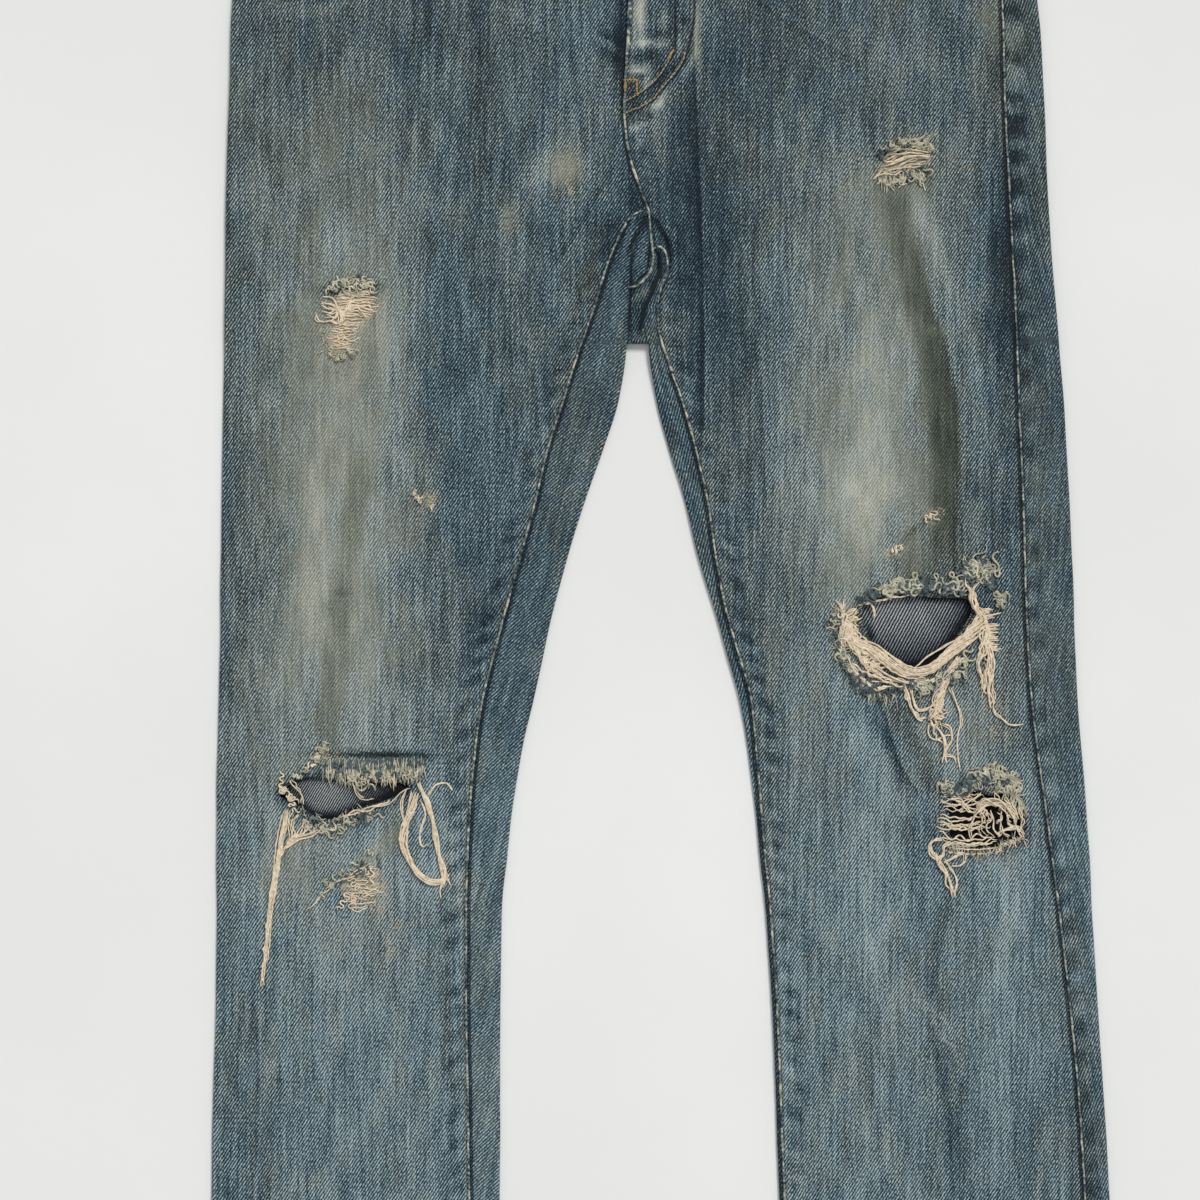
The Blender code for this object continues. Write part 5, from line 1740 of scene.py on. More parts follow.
class Sewing:
    """What is sewn to each panel: {panel name: the pieces on it}."""

    def __init__(self, looks):
        self.looks = looks
        self.on = {}

    def keep(self, panel, piece):
        self.on.setdefault(panel, []).append(piece)

    def stitch(self, panel, name, rows, radius, look="tan", drop=0.0):
        self.keep(panel, stitches_piece(name, rows, self.looks[look], radius, drop))

    def raise_seam(self, panel, name, line, heights, radius):
        strand = ridge(line, heights, radius)
        self.keep(panel, strands_piece(name, [strand], [self.looks["ridge"]]))


def sew_inseams(sewing):
    for side, shift, high, end, height in (
        ("right", -1, -4, RIGHT_INSEAM_END, cloth_height),
        ("left", 1, -99, LEFT_LOOP[::-1], seat_height),
    ):
        inseam = seam_line(inner_seam(side, shift), HEM_Y + 1, -3)
        line = inseam + (0.75 * shift, 0)
        line = np.concatenate([line[line[:, 1] < high], smooth_path(end, 1.5)])
        sewing.raise_seam(f"{side}_front", f"{side}_inseam_ridge", line, on_top(0.05, height), 0.72)
        row = stitch_row(inseam[inseam[:, 1] < -40] + (2.4 * shift, 0), on_top(0.02), 3.6, 2.5)
        sewing.stitch(f"{side}_front", f"{side}_inseam_stitches", [row], 0.34, drop=0.12)
    sewing.raise_seam("right_back", "seat_welt", smooth_path(SEAT_WELT, 1.5), on_top(-0.1, seat_height), 0.8)


def sew_fly(sewing):
    """The centre seam, the fly's two rows, and its bar tacks."""
    centre = seam_line(inner_seam("left", 1), 2, 190) + (0.5, 0)
    thick = 0.92 + 0.45 * ramp(centre[:, 1], 84, 120)
    sewing.raise_seam("left_front", "centre_seam_ridge", centre, on_top(0.1), thick)
    below_fly, beside_fly = centre[:34], centre[34:]
    rows = [stitch_row(below_fly + (away, 0), on_top(0.02)) for away in ROWS]
    rows.append(stitch_row(beside_fly + (2.2, 0), on_top(0.02)))
    sewing.stitch("left_front", "centre_seam_stitches", rows, 0.3, "brown", 0.1)
    upper, lower = [], []
    for row in FLY_ROWS:
        path = fly_curve(row)
        upper.append(stitch_row(path[path[:, 1] >= 106], on_top(0.02), PITCH, 2.3))
        lower.append(stitch_row(path[path[:, 1] < 107], on_top(0.02), 2.8, 3.0))
    sewing.stitch("left_front", "fly_stitches_above", upper, 0.3, "brown", 0.35)
    sewing.stitch("left_front", "fly_stitches", lower, 0.48, "pale tan")
    rows = []
    for start, end, lift in (
        ((-4.6, 88.4), (4.4, 88.4), 0.12), ((-3.4, 88.5), (-3.2, 80.5), 1.1), ((4.2, 88.5), (4.6, 78), 0.12),
        ((24.6, 101.4), (28.2, 108), 0.12),
    ):
        line = np.linspace(start, end, max(int(np.hypot(end[0] - start[0], end[1] - start[1]) / 0.6), 2))
        rows.append(stitch_row(line, on_top(lift), 0.62, 1.5, skew=1.45))
    sewing.stitch("left_front", "bar_tacks", rows, 0.36, "gold")


def sew_outseams(sewing):
    outseam = seam_line(seam(STATIONS, "left_outseam", 1), HEM_Y + 1, 140)
    sewing.raise_seam("left_back", "left_outseam_ridge", outseam + (0.7, 0), on_top(0.0, cloth_height), 0.66)
    row = stitch_row(outseam[outseam[:, 1] > 40] + (-2.5, 0), on_top(0.0))
    sewing.stitch("left_front", "left_outseam_stitches", [row], 0.3, drop=0.2)
    turned = seam_line(right_turn(0), HEM_Y + 1, 208)
    sewing.raise_seam("right_back", "right_outseam_ridge", turned, on_underside(0.0), 0.5)


def sew_mouths_and_hems(sewing):
    for side in SIDES:
        rows = [stitch_row(mouth_curve(side, away), on_top(0.02)) for away in ROWS]
        sewing.stitch(f"{side}_front", f"{side}_pocket_mouth_stitches", rows, 0.34, drop=0.04)
    y = HEM_Y + 10
    for side, low, high in (("right", -273, -97), ("left", 116, 303)):
        row = stitch_row(row_of(np.linspace(low, high, 90), y), on_top(0.05), PITCH, 2.5)
        sewing.stitch(f"{side}_front", f"{side}_hem_stitches", [row], 0.36)
        row = stitch_row(row_of(np.linspace(low + 24, high - 4, 90), y), on_underside(), PITCH, 2.5)
        sewing.stitch(f"{side}_back", f"{side}_hem_stitches_behind", [row], 0.3)


def sew_back(sewing):
    """The yoke seams, the seat seam, and the sides, foot and top of each back pocket."""
    x = np.linspace(6, 236, 110)
    for side, sign in (("right", -1), ("left", 1)):
        rows = [stitch_row(row_of(sign * x, yoke_seam(x) - away), on_underside()) for away in ROWS]
        sewing.stitch(f"{side}_back", f"{side}_yoke_stitches", rows, 0.28)
    y = np.linspace(-76, 146, 100)
    rows = [stitch_row(row_of(3.0 + away, y), on_underside()) for away in (0.0, 5.5)]
    sewing.stitch("left_back", "seat_seam_stitches", rows, 0.28)

    t = np.linspace(0, 1, 50)
    for side, middle in (("right", -POCKET_MIDDLE), ("left", POCKET_MIDDLE)):
        lines = []
        for inset in (0.03, 0.115):
            edge = 1 - inset
            lines += [(-edge, 1 - t * edge), (-edge + 2 * edge * t, inset), (edge, inset + t * edge)]
        lines += [(np.linspace(-0.97, 0.97, 50), up) for up in (0.86, 0.94)]
        lines = [row_of(*pocket_points(middle, *line)) for line in lines]
        rows = [stitch_row(line, lambda x, y: 0.14 + 0 * x) for line in lines]
        name = f"{side}_back_pocket"
        sewing.stitch(name, f"{name}_stitches", rows, 0.22)


def sew_band(sewing):
    """Stitches of the waistband, its buttonhole and its belt loops."""

    def outside(x, y):
        return band_top(x) + 0.15

    def behind(x, y):
        return BAND_MIDDLE - BAND_CLOTH / 2 - 0.12 + 0 * x

    left, right = np.linspace(-9, 234, 160), np.linspace(-220, -15, 140)
    rows = []
    for away in (2.5, 36.5):
        rows += [stitch_row(row_of(x, band_edge(x) + away), outside, 3.6, 2.6) for x in (left, right)]
        rows.append(stitch_row(row_of(np.linspace(-222, 226, 300), BAND_Y + away), behind, 3.6, 2.6))
    end_x, end_y = BAND_LAP[0] + 2.5, float(band_edge(-9))
    rows.append(stitch_row(np.linspace((end_x, end_y + 3), (end_x, end_y + 36), 20), outside))
    sewing.stitch("waistband", "waistband_stitches", rows, 0.34)
    angle = np.linspace(0, 2 * np.pi, 90)
    hole = row_of(6 + 13 * np.cos(angle), band_middle_y() + 3.2 * np.sin(angle))
    sewing.stitch("waistband", "buttonhole_stitches", [stitch_row(hole, outside, 0.8, 2.2, skew=1.5)], 0.32)
    for name, x in LOOPS:
        path = smooth_path(loop_path(name, x), 1.5)
        lift = 0.75 if name.endswith("front") else -0.62
        on_loop = on_path(path, lift)
        rows = [stitch_row(row_of(x + away, path[:, 0]), on_loop, 3.2, 2.3) for away in (-3.6, 3.6)]
        for y in path[[2, -3], 0]:
            rows.append(stitch_row(np.linspace((x - 5, y), (x + 5, y), 18), on_loop, 0.65, 2.0, skew=1.5))
        sewing.stitch(f"{name}_belt_loop", f"{name}_belt_loop_stitches", rows, 0.3)


# Rips: loose weft bundles, curled warp ends and fringe

CREAM = 0.54  # radius of a loose weft thread
BLUE = 0.38  # radius of a warp end
BUNDLE_SHARE, FRINGE_SHARE, CURL_COUNT = 0.42, 0.55, 0.38  # of the strands that are asked for
CURL_SIZE, CURL_RADIUS, CURL_STEP = 1.5, 1.6, 0.8
CURL_LONGEST = 3.2  # in curls


def sideways(path):
    run = np.gradient(path, axis=0)
    run /= np.linalg.norm(run, axis=1)[:, None] + 1e-9
    return np.column_stack([-run[:, 1], run[:, 0]])


def row_of(x, y):
    """A plan path from x and y, either of which may be one number."""
    return np.column_stack(np.broadcast_arrays(x, y))


def resting(path, lift):
    """A path on the plan laid on the cloth, lift above it."""
    return np.column_stack([path, on_top(np.maximum(lift, 0.15))(path[:, 0], path[:, 1])])


def wave(count, rng, size, longest):
    """An uneven wave with waves from longest down to a fifth of it, in path steps."""
    t = np.arange(count)
    total = np.zeros(count)
    for part in (1.0, 0.6, 0.35, 0.2):
        total += part * np.sin(2 * np.pi * (t / (longest * part) + rng.random())) * rng.normal(0, 1)
    return size * 0.6 * total


def bundle(points, strands, widths, radius, seed, lift=0.4, stray=0.14, twist=0.8, ends=0.1):
    """Strands that run together as a loosely twisted rope. widths are its widths along its length."""
    rng = np.random.default_rng(seed)
    path = smooth_path(points, 1.3)
    count = len(path)
    t = np.linspace(0, 1, count)
    half = np.interp(t, np.linspace(0, 1, len(widths)), widths) / 2
    side = sideways(path)
    made = []
    for _ in range(max(int(strands * BUNDLE_SHARE), 2)):
        out = np.sqrt(rng.random())
        angle = rng.uniform(0, 2 * np.pi) + 2 * np.pi * twist * t
        loose = rng.uniform(2.5, 6) if rng.random() < stray else 1.0
        across = half * out * np.cos(angle) + wave(count, rng, 0.26 * loose, 11)
        up = np.minimum(half, 2.2) * (0.5 + 0.5 * out * np.sin(angle))
        up += 0.25 * loose * np.abs(wave(count, rng, 0.5, 9))
        line = resting(path + side * across[:, None], lift + up)
        first = int(count * rng.exponential(ends) * 0.3)
        last = count - int(count * min(rng.exponential(ends), 0.5))
        line = line[first : max(last, first + 4)]
        made.append((line, ends_taper(len(line), radius * rng.uniform(0.7, 1.2), 0.06)))
    return made


def wefts(rows, radius, seed, gap, sag, wavy):
    """Weft threads left across a worn patch. Each row of the table is (y, left, right)."""
    rng = np.random.default_rng(seed)
    table = np.array(sorted(rows), float)
    made = []
    y = table[0, 0]
    while y < table[-1, 0]:
        left = np.interp(y, table[:, 0], table[:, 1]) + rng.normal(0, 1.6)
        right = np.interp(y, table[:, 0], table[:, 2]) + rng.normal(0, 1.6)
        if rng.random() < 0.3:
            cut = (right - left) * rng.uniform(0.1, 0.6)
            left, right = (left, right - cut) if rng.random() < 0.6 else (left + cut, right)
        t = np.linspace(0, 1, max(int(abs(right - left) / 1.3), 5))
        ys = y - sag * np.sin(np.pi * t) * rng.uniform(0.2, 1.5) + wave(len(t), rng, wavy, 8)
        path = np.column_stack([left + (right - left) * t, ys])
        rise = 0.5 * np.sin(np.pi * t) * rng.uniform(0.4, 1.6) + 0.3 * np.abs(wave(len(t), rng, 0.6, 7))
        made.append((resting(path, rise), ends_taper(len(t), radius * rng.uniform(0.7, 1.25), 0.1)))
        y += gap * rng.uniform(0.4, 1.5)
    return made


def curls(path, count, size, radius, seed, spread, outward=0.0):
    """Released ends along an edge, curled into ruffles."""
    rng = np.random.default_rng(seed)
    size, radius = CURL_SIZE * size, CURL_RADIUS * radius
    path = smooth_path(path, 1.0)
    run = np.gradient(path, axis=0)
    made = []
    for _ in range(max(int(CURL_COUNT * count), 2)):
        place = rng.integers(len(path))
        start = path[place] + rng.normal(0, spread * 0.4, 2) + (0, outward * rng.random())
        count_of_steps = max(int(rng.uniform(1.2, CURL_LONGEST) * size / CURL_STEP), 6)
        t = np.arange(count_of_steps)
        way = np.arctan2(run[place, 1], run[place, 0]) + np.pi * rng.integers(2) + rng.normal(0, 0.8)
        waves = 2 * np.pi * CURL_STEP * t / (size * rng.uniform(0.9, 1.9)) + rng.uniform(0, 2 * np.pi)
        way = way + rng.uniform(1.0, 2.5) * np.sin(waves)
        steps = CURL_STEP * np.column_stack([np.cos(way), np.sin(way)])
        line = start + np.cumsum(steps, axis=0) - steps.sum(axis=0) / 2
        rise = 0.2 + 1.9 * np.abs(np.sin(np.pi * t / count_of_steps * rng.uniform(0.7, 1.8)))
        made.append((resting(line, rise), ends_taper(count_of_steps, radius * rng.uniform(0.7, 1.2), 0.1)))
    return made


def fringe(path, count, length, radius, seed, direction=(0, -1), lean=0.4):
    """Warp or weft ends that stand out from a cut edge."""
    rng = np.random.default_rng(seed)
    path = smooth_path(path, 1.0)
    made = []
    for _ in range(int(count * FRINGE_SHARE)):
        start = path[rng.integers(len(path))] + rng.normal(0, 0.4, 2)
        reach = length * rng.uniform(0.45, 1.2)
        way = np.array(direction, float) + rng.normal(0, lean, 2)
        t = np.linspace(0, 1, max(int(reach / 1.0), 4))
        bend = rng.normal(0, 0.8 * lean) * reach * 0.5
        x = start[0] + way[0] * reach * t + bend * t * t
        y = start[1] + way[1] * reach * t - 0.12 * abs(bend) * t
        rise = 0.2 + 0.7 * rng.uniform(0.3, 1.5) * np.sin(np.pi * t)
        line = resting(np.column_stack([x, y]), rise)
        made.append((line, ends_taper(len(t), radius * rng.uniform(0.75, 1.2), 0.2)))
    return made


def right_leg_threads():
    """(weft, warp and dark warp strands) of the right leg, with its knee rip and two worn patches."""
    weft, warp, blue = [], [], []
    # The long tail at the knee's outer end, and the fan of ends that joins it
    weft += bundle([(-222, -384), (-224, -393), (-226.5, -406), (-229, -421), (-232, -439), (-234, -456),
        (-236, -478), (-238.5, -500)], 28, (6, 5.4, 5, 4.4, 4, 3.2, 2.4), CREAM, 101, ends=0.12)
    for number, (x, y) in enumerate([(-219, -384), (-215, -387), (-211, -390), (-207, -392), (-203, -393),
        (-198, -393)]):
        weft += bundle([(x, y), (x - 2, y - 5), (-220 + number, -403), (-226, -411)], 6, (4, 3, 1.4),
            CREAM * 0.9, 102 + number, stray=0.3)
    weft += curls([(-226, -366), (-222, -376), (-216, -384)], 26, 5.0, CREAM * 0.6, 109, 3.0)
    weft += bundle([(-219, -364), (-215, -372), (-212, -381)], 7, (4, 3, 2), CREAM * 0.85, 108)
    # The loop at its inner end
    weft += bundle([(-138.5, -373), (-141.9, -383.5), (-146, -394.5), (-147.5, -405.4), (-143, -416),
        (-136.5, -425.8), (-128, -430.6), (-121.5, -430), (-117.5, -426)], 26,
        (6.5, 7, 6.4, 5.4, 4.6, 4, 3.4), CREAM, 110, twist=1.2, stray=0.3, ends=0.02)
    weft += bundle([(-136.5, -366.4), (-132, -377), (-129, -390), (-125.6, -403), (-122.4, -416),
        (-121, -428), (-122.5, -434)], 20, (3.6, 3.4, 3.6, 4, 3.6), CREAM, 111, twist=1.6, ends=0.02)
    weft += bundle([(-122.4, -430), (-123, -436), (-122.4, -442)], 4, (3, 2), CREAM, 112)
    weft += bundle([(-121, -428), (-118, -430), (-115.5, -433)], 3, (2, 1), CREAM, 113)
    weft += bundle([(-131, -375), (-124.8, -367.3), (-119, -367), (-115.5, -372)], 3, (1.2, 0.8), CREAM,
        114)
    weft += bundle([(-144, -370), (-148, -380), (-147, -392), (-144, -400)], 3, (1.6, 1.6), CREAM, 115)
    weft += bundle([(-136, -378), (-133, -388), (-136, -398), (-134, -408), (-127, -404)], 3, (1.6, 1.6),
        CREAM, 116)
    # Its lower rim, and the fringe that hangs from its upper cut edge
    weft += bundle([(-187, -388.6), (-173.5, -384.6), (-158, -380), (-141, -369.5)], 9,
        (1.6, 2.2, 2.6, 3.4), CREAM * 0.9, 117, twist=2)
    blue += fringe([(-197, -351.8), (-169, -351.4), (-154, -350), (-132, -349.6)], 128, 7.4, BLUE * 1.1,
        118, lean=0.1)
    warp += fringe([(-197, -352), (-169, -352), (-154, -350.6), (-134, -350)], 76, 9.0, BLUE, 128,
        lean=0.12)
    warp += fringe([(-198, -357), (-169, -358), (-154, -357), (-134, -355)], 210, 10.0, BLUE * 0.85, 119,
        lean=0.16)
    warp += curls([(-190, -360), (-176, -364), (-158, -362), (-138, -362)], 26, 5.0, BLUE * 0.9, 126, 2.4)
    blue += curls([(-190, -359), (-178, -362), (-158, -361), (-138, -361)], 24, 4.0, BLUE * 0.9, 129, 2.2)
    weft += fringe([(-192, -359), (-160, -359), (-136, -357)], 64, 9.0, CREAM * 0.62, 127, lean=0.3)
    warp += curls([(-178, -365), (-171, -369), (-164, -365)], 10, 7.0, BLUE, 120, 2.4)
    weft += bundle([(-179, -366), (-174, -377), (-166, -378), (-160, -380)], 5, (3, 2), CREAM * 0.7, 121)
    warp += fringe([(-214, -384), (-206, -389), (-195, -392), (-181, -388), (-165, -383)], 110, 3.6,
        BLUE * 0.9, 122, direction=(0, 0.2), lean=0.7)
    warp += curls([(-210, -394), (-192, -396), (-176, -392), (-160, -386)], 56, 5.0, BLUE, 123, 3.4)
    blue += curls([(-206, -393), (-190, -395), (-176, -391), (-162, -385)], 40, 4.4, BLUE, 146, 3.0)
    warp += curls([(-216, -363), (-208, -356), (-202, -350), (-198, -342)], 40, 3.4, BLUE, 124, 2.6)
    weft += curls([(-214, -363), (-204, -354), (-198, -344)], 14, 3.4, CREAM * 0.7, 125, 2.6)
    # The worn patch on the thigh: a fan of threads from a knot, short wefts below it, and ruffles over both
    weft += wefts([(-51, -188, -165), (-56, -190, -165), (-62, -188, -166), (-67, -186, -172)],
        CREAM * 0.9, 131, gap=1.15, wavy=0.7, sag=-1.2)
    weft += wefts([(-68, -192, -175), (-76, -195, -177), (-85, -192, -180)], CREAM * 0.8, 130, gap=1.1,
        wavy=0.9, sag=1.0)
    for number, (x, y) in enumerate([(-199, -52), (-200, -55), (-200, -58), (-199, -61), (-197, -64),
        (-195, -67)]):
        weft += bundle([(x, y), (x + 6, y - 1.5), (-189, -60), (-187, -66), (-188, -71)], 5,
            (2.4, 2.0, 1.2), CREAM * 0.9, 132 + number, stray=0.3)
    for number, (x, y) in enumerate([(-166, -50), (-165, -55), (-166, -61), (-170, -65)]):
        weft += bundle([(-187, -69), (-185, -62), (-180, (y - 60) / 2 + 2), (x, y)], 5, (1.4, 2.0, 3.0),
            CREAM * 0.9, 150 + number, stray=0.2)
    weft += bundle([(-204, -62), (-201, -68), (-194, -68), (-190, -62), (-197, -58)], 6, (1.2, 1.2),
        CREAM * 0.7, 138)
    weft += bundle([(-188, -80), (-190, -77), (-187, -75), (-185, -78), (-188, -81)], 5, (1.2, 1.2),
        CREAM * 0.8, 149)
    blue += curls([(-198, -50), (-190, -45), (-177, -44), (-165, -46)], 24, 4.4, BLUE * 0.9, 139, 3.4)
    warp += bundle([(-190, -38), (-188, -44), (-184, -50), (-177, -51), (-171, -48)], 4, (1.2, 1.4),
        BLUE * 1.5, 155)
    warp += bundle([(-184, -44), (-177, -41), (-170, -43), (-168, -48), (-175, -49), (-182, -48)], 4,
        (1.2, 1.2), BLUE * 1.4, 156)
    warp += bundle([(-196, -48), (-190, -43), (-184, -42), (-176, -45)], 4, (1.6, 1.2), BLUE * 1.4, 157)
    warp += curls([(-196, -48), (-188, -45), (-175, -44), (-165, -46)], 40, 6.4, BLUE * 1.1, 135, 3.0)
    weft += curls([(-192, -46), (-180, -45), (-168, -46)], 14, 6.0, CREAM * 0.6, 147, 3.0)
    warp += curls([(-196, -86), (-188, -91), (-178, -90)], 24, 3.6, BLUE * 0.9, 136, 3.0)
    warp += fringe([(-199, -70), (-198, -80), (-194, -88), (-184, -91)], 60, 3.6, BLUE * 0.9, 148,
        direction=(-0.4, -0.6), lean=0.5)
    weft += curls([(-138, -181), (-132, -184), (-127, -189)], 20, 3.0, CREAM * 0.5, 154, 3.4)
    # Below the knee
    weft += wefts([(-420, -174, -165), (-426, -178, -162), (-434, -184, -162), (-442, -186, -166),
        (-448, -180, -170)], CREAM * 0.7, 141, gap=2.0, wavy=1.0, sag=2.0)
    weft += curls([(-182, -444), (-178, -434), (-168, -424)], 26, 5.5, CREAM * 0.62, 142, 5.0)
    weft += bundle([(-168, -419), (-178, -426), (-194, -434), (-209, -448.5)], 4, (3, 3, 1), CREAM * 0.8,
        143)
    warp += curls([(-200, -440), (-190, -428), (-176, -418), (-162, -412)], 30, 4.0, BLUE * 0.8, 144, 4.0)
    blue += curls([(-186, -430), (-174, -422), (-160, -414)], 26, 3.4, BLUE * 0.8, 145, 3.0)
    return weft, warp, blue


def left_leg_threads():
    """(weft, warp and dark warp strands) of the left leg, with its two rips and the patch on the thigh."""
    weft, warp, blue = [], [], []
    # The knee: a thick swag across the rip
    weft += bundle([(141, -268), (146, -276), (156, -280), (169, -289), (182, -295.6), (193, -293.6),
        (209, -281.6), (223, -268), (231, -258)], 62, (7, 9, 9.4, 8.4, 6.6, 6.6, 8, 10, 14), CREAM, 201,
        twist=0.7, ends=0.04)
    weft += bundle([(139, -262), (137, -274), (139, -287), (149, -299), (158, -305.6), (171, -303.7)], 16,
        (6, 5, 4, 3.4, 3), CREAM, 202, stray=0.3)
    weft += bundle([(143, -275), (154, -290), (169, -299), (186, -302), (194, -301), (204, -295)], 12,
        (4, 4, 3, 2), CREAM, 203, stray=0.3)
    weft += bundle([(182, -299), (192, -292), (201, -288), (209, -279), (224, -270)], 10, (2, 3, 4),
        CREAM * 0.9, 204)
    weft += bundle([(184, -292), (193, -284), (205, -277), (216, -272), (228, -264)], 7, (1.6, 2, 3),
        CREAM * 0.9, 205)
    # The tangle at its inner end
    weft += fringe([(139, -254), (137, -262), (139, -270)], 46, 7.0, CREAM, 206, direction=(-0.3, 0.8),
        lean=0.4)
    weft += bundle([(148, -256), (142, -260), (141, -270), (147, -278), (155, -284)], 24, (9, 7, 6, 5),
        CREAM, 207, stray=0.4)
    weft += curls([(140, -262), (144, -274), (151, -284), (162, -292)], 80, 6.0, CREAM * 0.75, 208, 5.0)
    weft += bundle([(140, -284), (150, -296), (163, -301), (180, -304)], 10, (5, 5, 4), CREAM, 200,
        stray=0.5)
    weft += bundle([(145, -276), (149, -272), (153, -275), (151, -280), (147, -279), (148, -275)], 6,
        (1.4, 1.2), CREAM, 209, stray=0)
    weft += bundle([(148, -252), (154, -250), (158, -256), (155, -264), (150, -266)], 4, (2, 1.4),
        CREAM * 0.8, 210)
    weft += bundle([(152, -251), (168.6, -247), (185.6, -244.8)], 6, (1.2, 1.6, 1.2), CREAM * 0.9, 211,
        twist=3)
    # The bundle and the comb at its outer end
    weft += bundle([(217, -234), (222, -244), (224, -254), (230, -264), (229, -278), (226, -290),
        (229.5, -302), (227, -312)], 16, (6, 5, 4, 5, 5, 4, 4, 3), CREAM, 212, twist=1.4, stray=0.4)
    weft += bundle([(224, -236), (221, -248), (228, -258), (226.5, -272), (232, -286), (231, -300),
        (233, -313)], 10, (4, 4, 5, 4, 4, 3, 2.4), CREAM, 289, twist=1.2, stray=0.4)
    weft += bundle([(229, -262), (231, -276), (234.5, -291), (233, -306), (234.5, -321)], 8, (5, 5, 3, 2),
        CREAM, 213, stray=0.4)
    weft += bundle([(230, -287), (236, -306), (236.6, -320.5), (241, -326), (247, -329), (259.4, -329.6)],
        4, (2.4, 2, 1.2, 0.8), CREAM * 0.9, 214, ends=0.05)
    weft += bundle([(227, -300), (231, -308), (238, -309)], 3, (2, 2), CREAM * 0.8, 215)
    weft += fringe([(226, -254), (229, -262), (230, -270), (231, -281)], 110, 8.0, CREAM * 0.9, 216,
        direction=(1, 0.1), lean=0.16)
    # What hangs from the swag
    weft += bundle([(178, -302), (179, -311.4), (182, -320), (187.6, -325.4), (194, -322.4)], 12,
        (4.4, 4, 3.4), CREAM, 217)
    weft += bundle([(182, -304), (183, -312), (187, -320), (192, -319), (199, -314)], 5, (2, 1.6), CREAM,
        218)
    weft += bundle([(213.6, -285.4), (207, -295.6), (201.5, -305.9), (198.7, -315), (197.6, -322.4),
        (195, -327)], 36, (4, 4.6, 5.4, 7, 8, 6), CREAM, 219, twist=1.3)
    weft += curls([(200, -316), (197, -326)], 40, 4.0, CREAM * 0.7, 220, 3.4)
    weft += fringe([(196, -314), (202, -320), (198, -327)], 34, 4.0, CREAM * 0.7, 221,
        direction=(0.2, -0.4), lean=0.7)
    weft += bundle([(195, -327), (200.6, -336.5), (203.4, -345), (203.4, -354)], 14, (6, 5, 4, 3), CREAM,
        222, stray=0.5)
    weft += bundle([(200.6, -328), (207, -331), (208, -339.3), (204, -348.4), (210, -350.4),
        (211.7, -355)], 4, (2, 1.4), CREAM * 0.9, 223)
    weft += bundle([(193, -329), (195, -336.5), (198.7, -338.4), (204, -336.5), (210.6, -336.7)], 5,
        (3, 1.4), CREAM * 0.9, 224)
    weft += bundle([(207, -304), (210.6, -311.4), (214.5, -320.5), (215, -328), (212.6, -336.5),
        (212, -350.4), (213.9, -361.4)], 6, (3, 3, 2, 1.4, 0.8), CREAM, 225)
    # Its ruffled warp ends
    blue += curls([(148, -250), (156, -245), (168, -243), (190, -241), (214, -243)], 130, 5.0, BLUE * 1.1,
        240, 4.0, outward=3.0)
    warp += curls([(152, -246), (165, -243), (182, -240), (200, -240), (216, -242)], 64, 7.4, BLUE * 1.2,
        231, 4.0, outward=5.0)
    blue += curls([(216, -236), (220, -226), (228, -227), (234, -236)], 80, 6.0, BLUE * 1.1, 232, 5.0)
    warp += curls([(217, -236), (220, -226), (228, -226), (234, -236)], 56, 8.0, BLUE * 1.1, 233, 5.0)
    weft += curls([(219, -233), (224, -227), (230, -230)], 18, 7.0, CREAM * 0.6, 230, 4.0)
    warp += fringe([(217, -233), (225, -236), (232, -240)], 60, 8.0, BLUE * 0.9, 234, direction=(0, 0.9),
        lean=0.4)
    warp += curls([(236, -240), (241, -246), (238, -252)], 24, 5.0, BLUE, 235, 3.0)
    warp += curls([(134, -252), (133, -266), (137, -282), (146, -296)], 70, 5.0, BLUE, 236, 3.4)
    blue += curls([(132, -256), (133, -270), (138, -286), (148, -300)], 60, 4.6, BLUE, 292, 3.4)
    warp += fringe([(134, -252), (132, -266), (136, -282)], 50, 4.0, BLUE * 0.8, 237,
        direction=(-0.8, 0.2))
    warp += fringe([(148, -300), (158, -307), (172, -308)], 60, 7.0, BLUE * 0.85, 238, lean=0.5)
    blue += fringe([(142, -296), (152, -305), (166, -309)], 70, 6.0, BLUE * 0.8, 284, lean=0.5)
    blue += curls([(146, -298), (158, -306), (176, -306), (196, -304), (212, -296)], 90, 5.0, BLUE * 1.1,
        285, 4.4)
    warp += curls([(186, -306), (200, -302), (214, -296), (219, -286)], 84, 6.0, BLUE * 1.05, 239, 4.4)
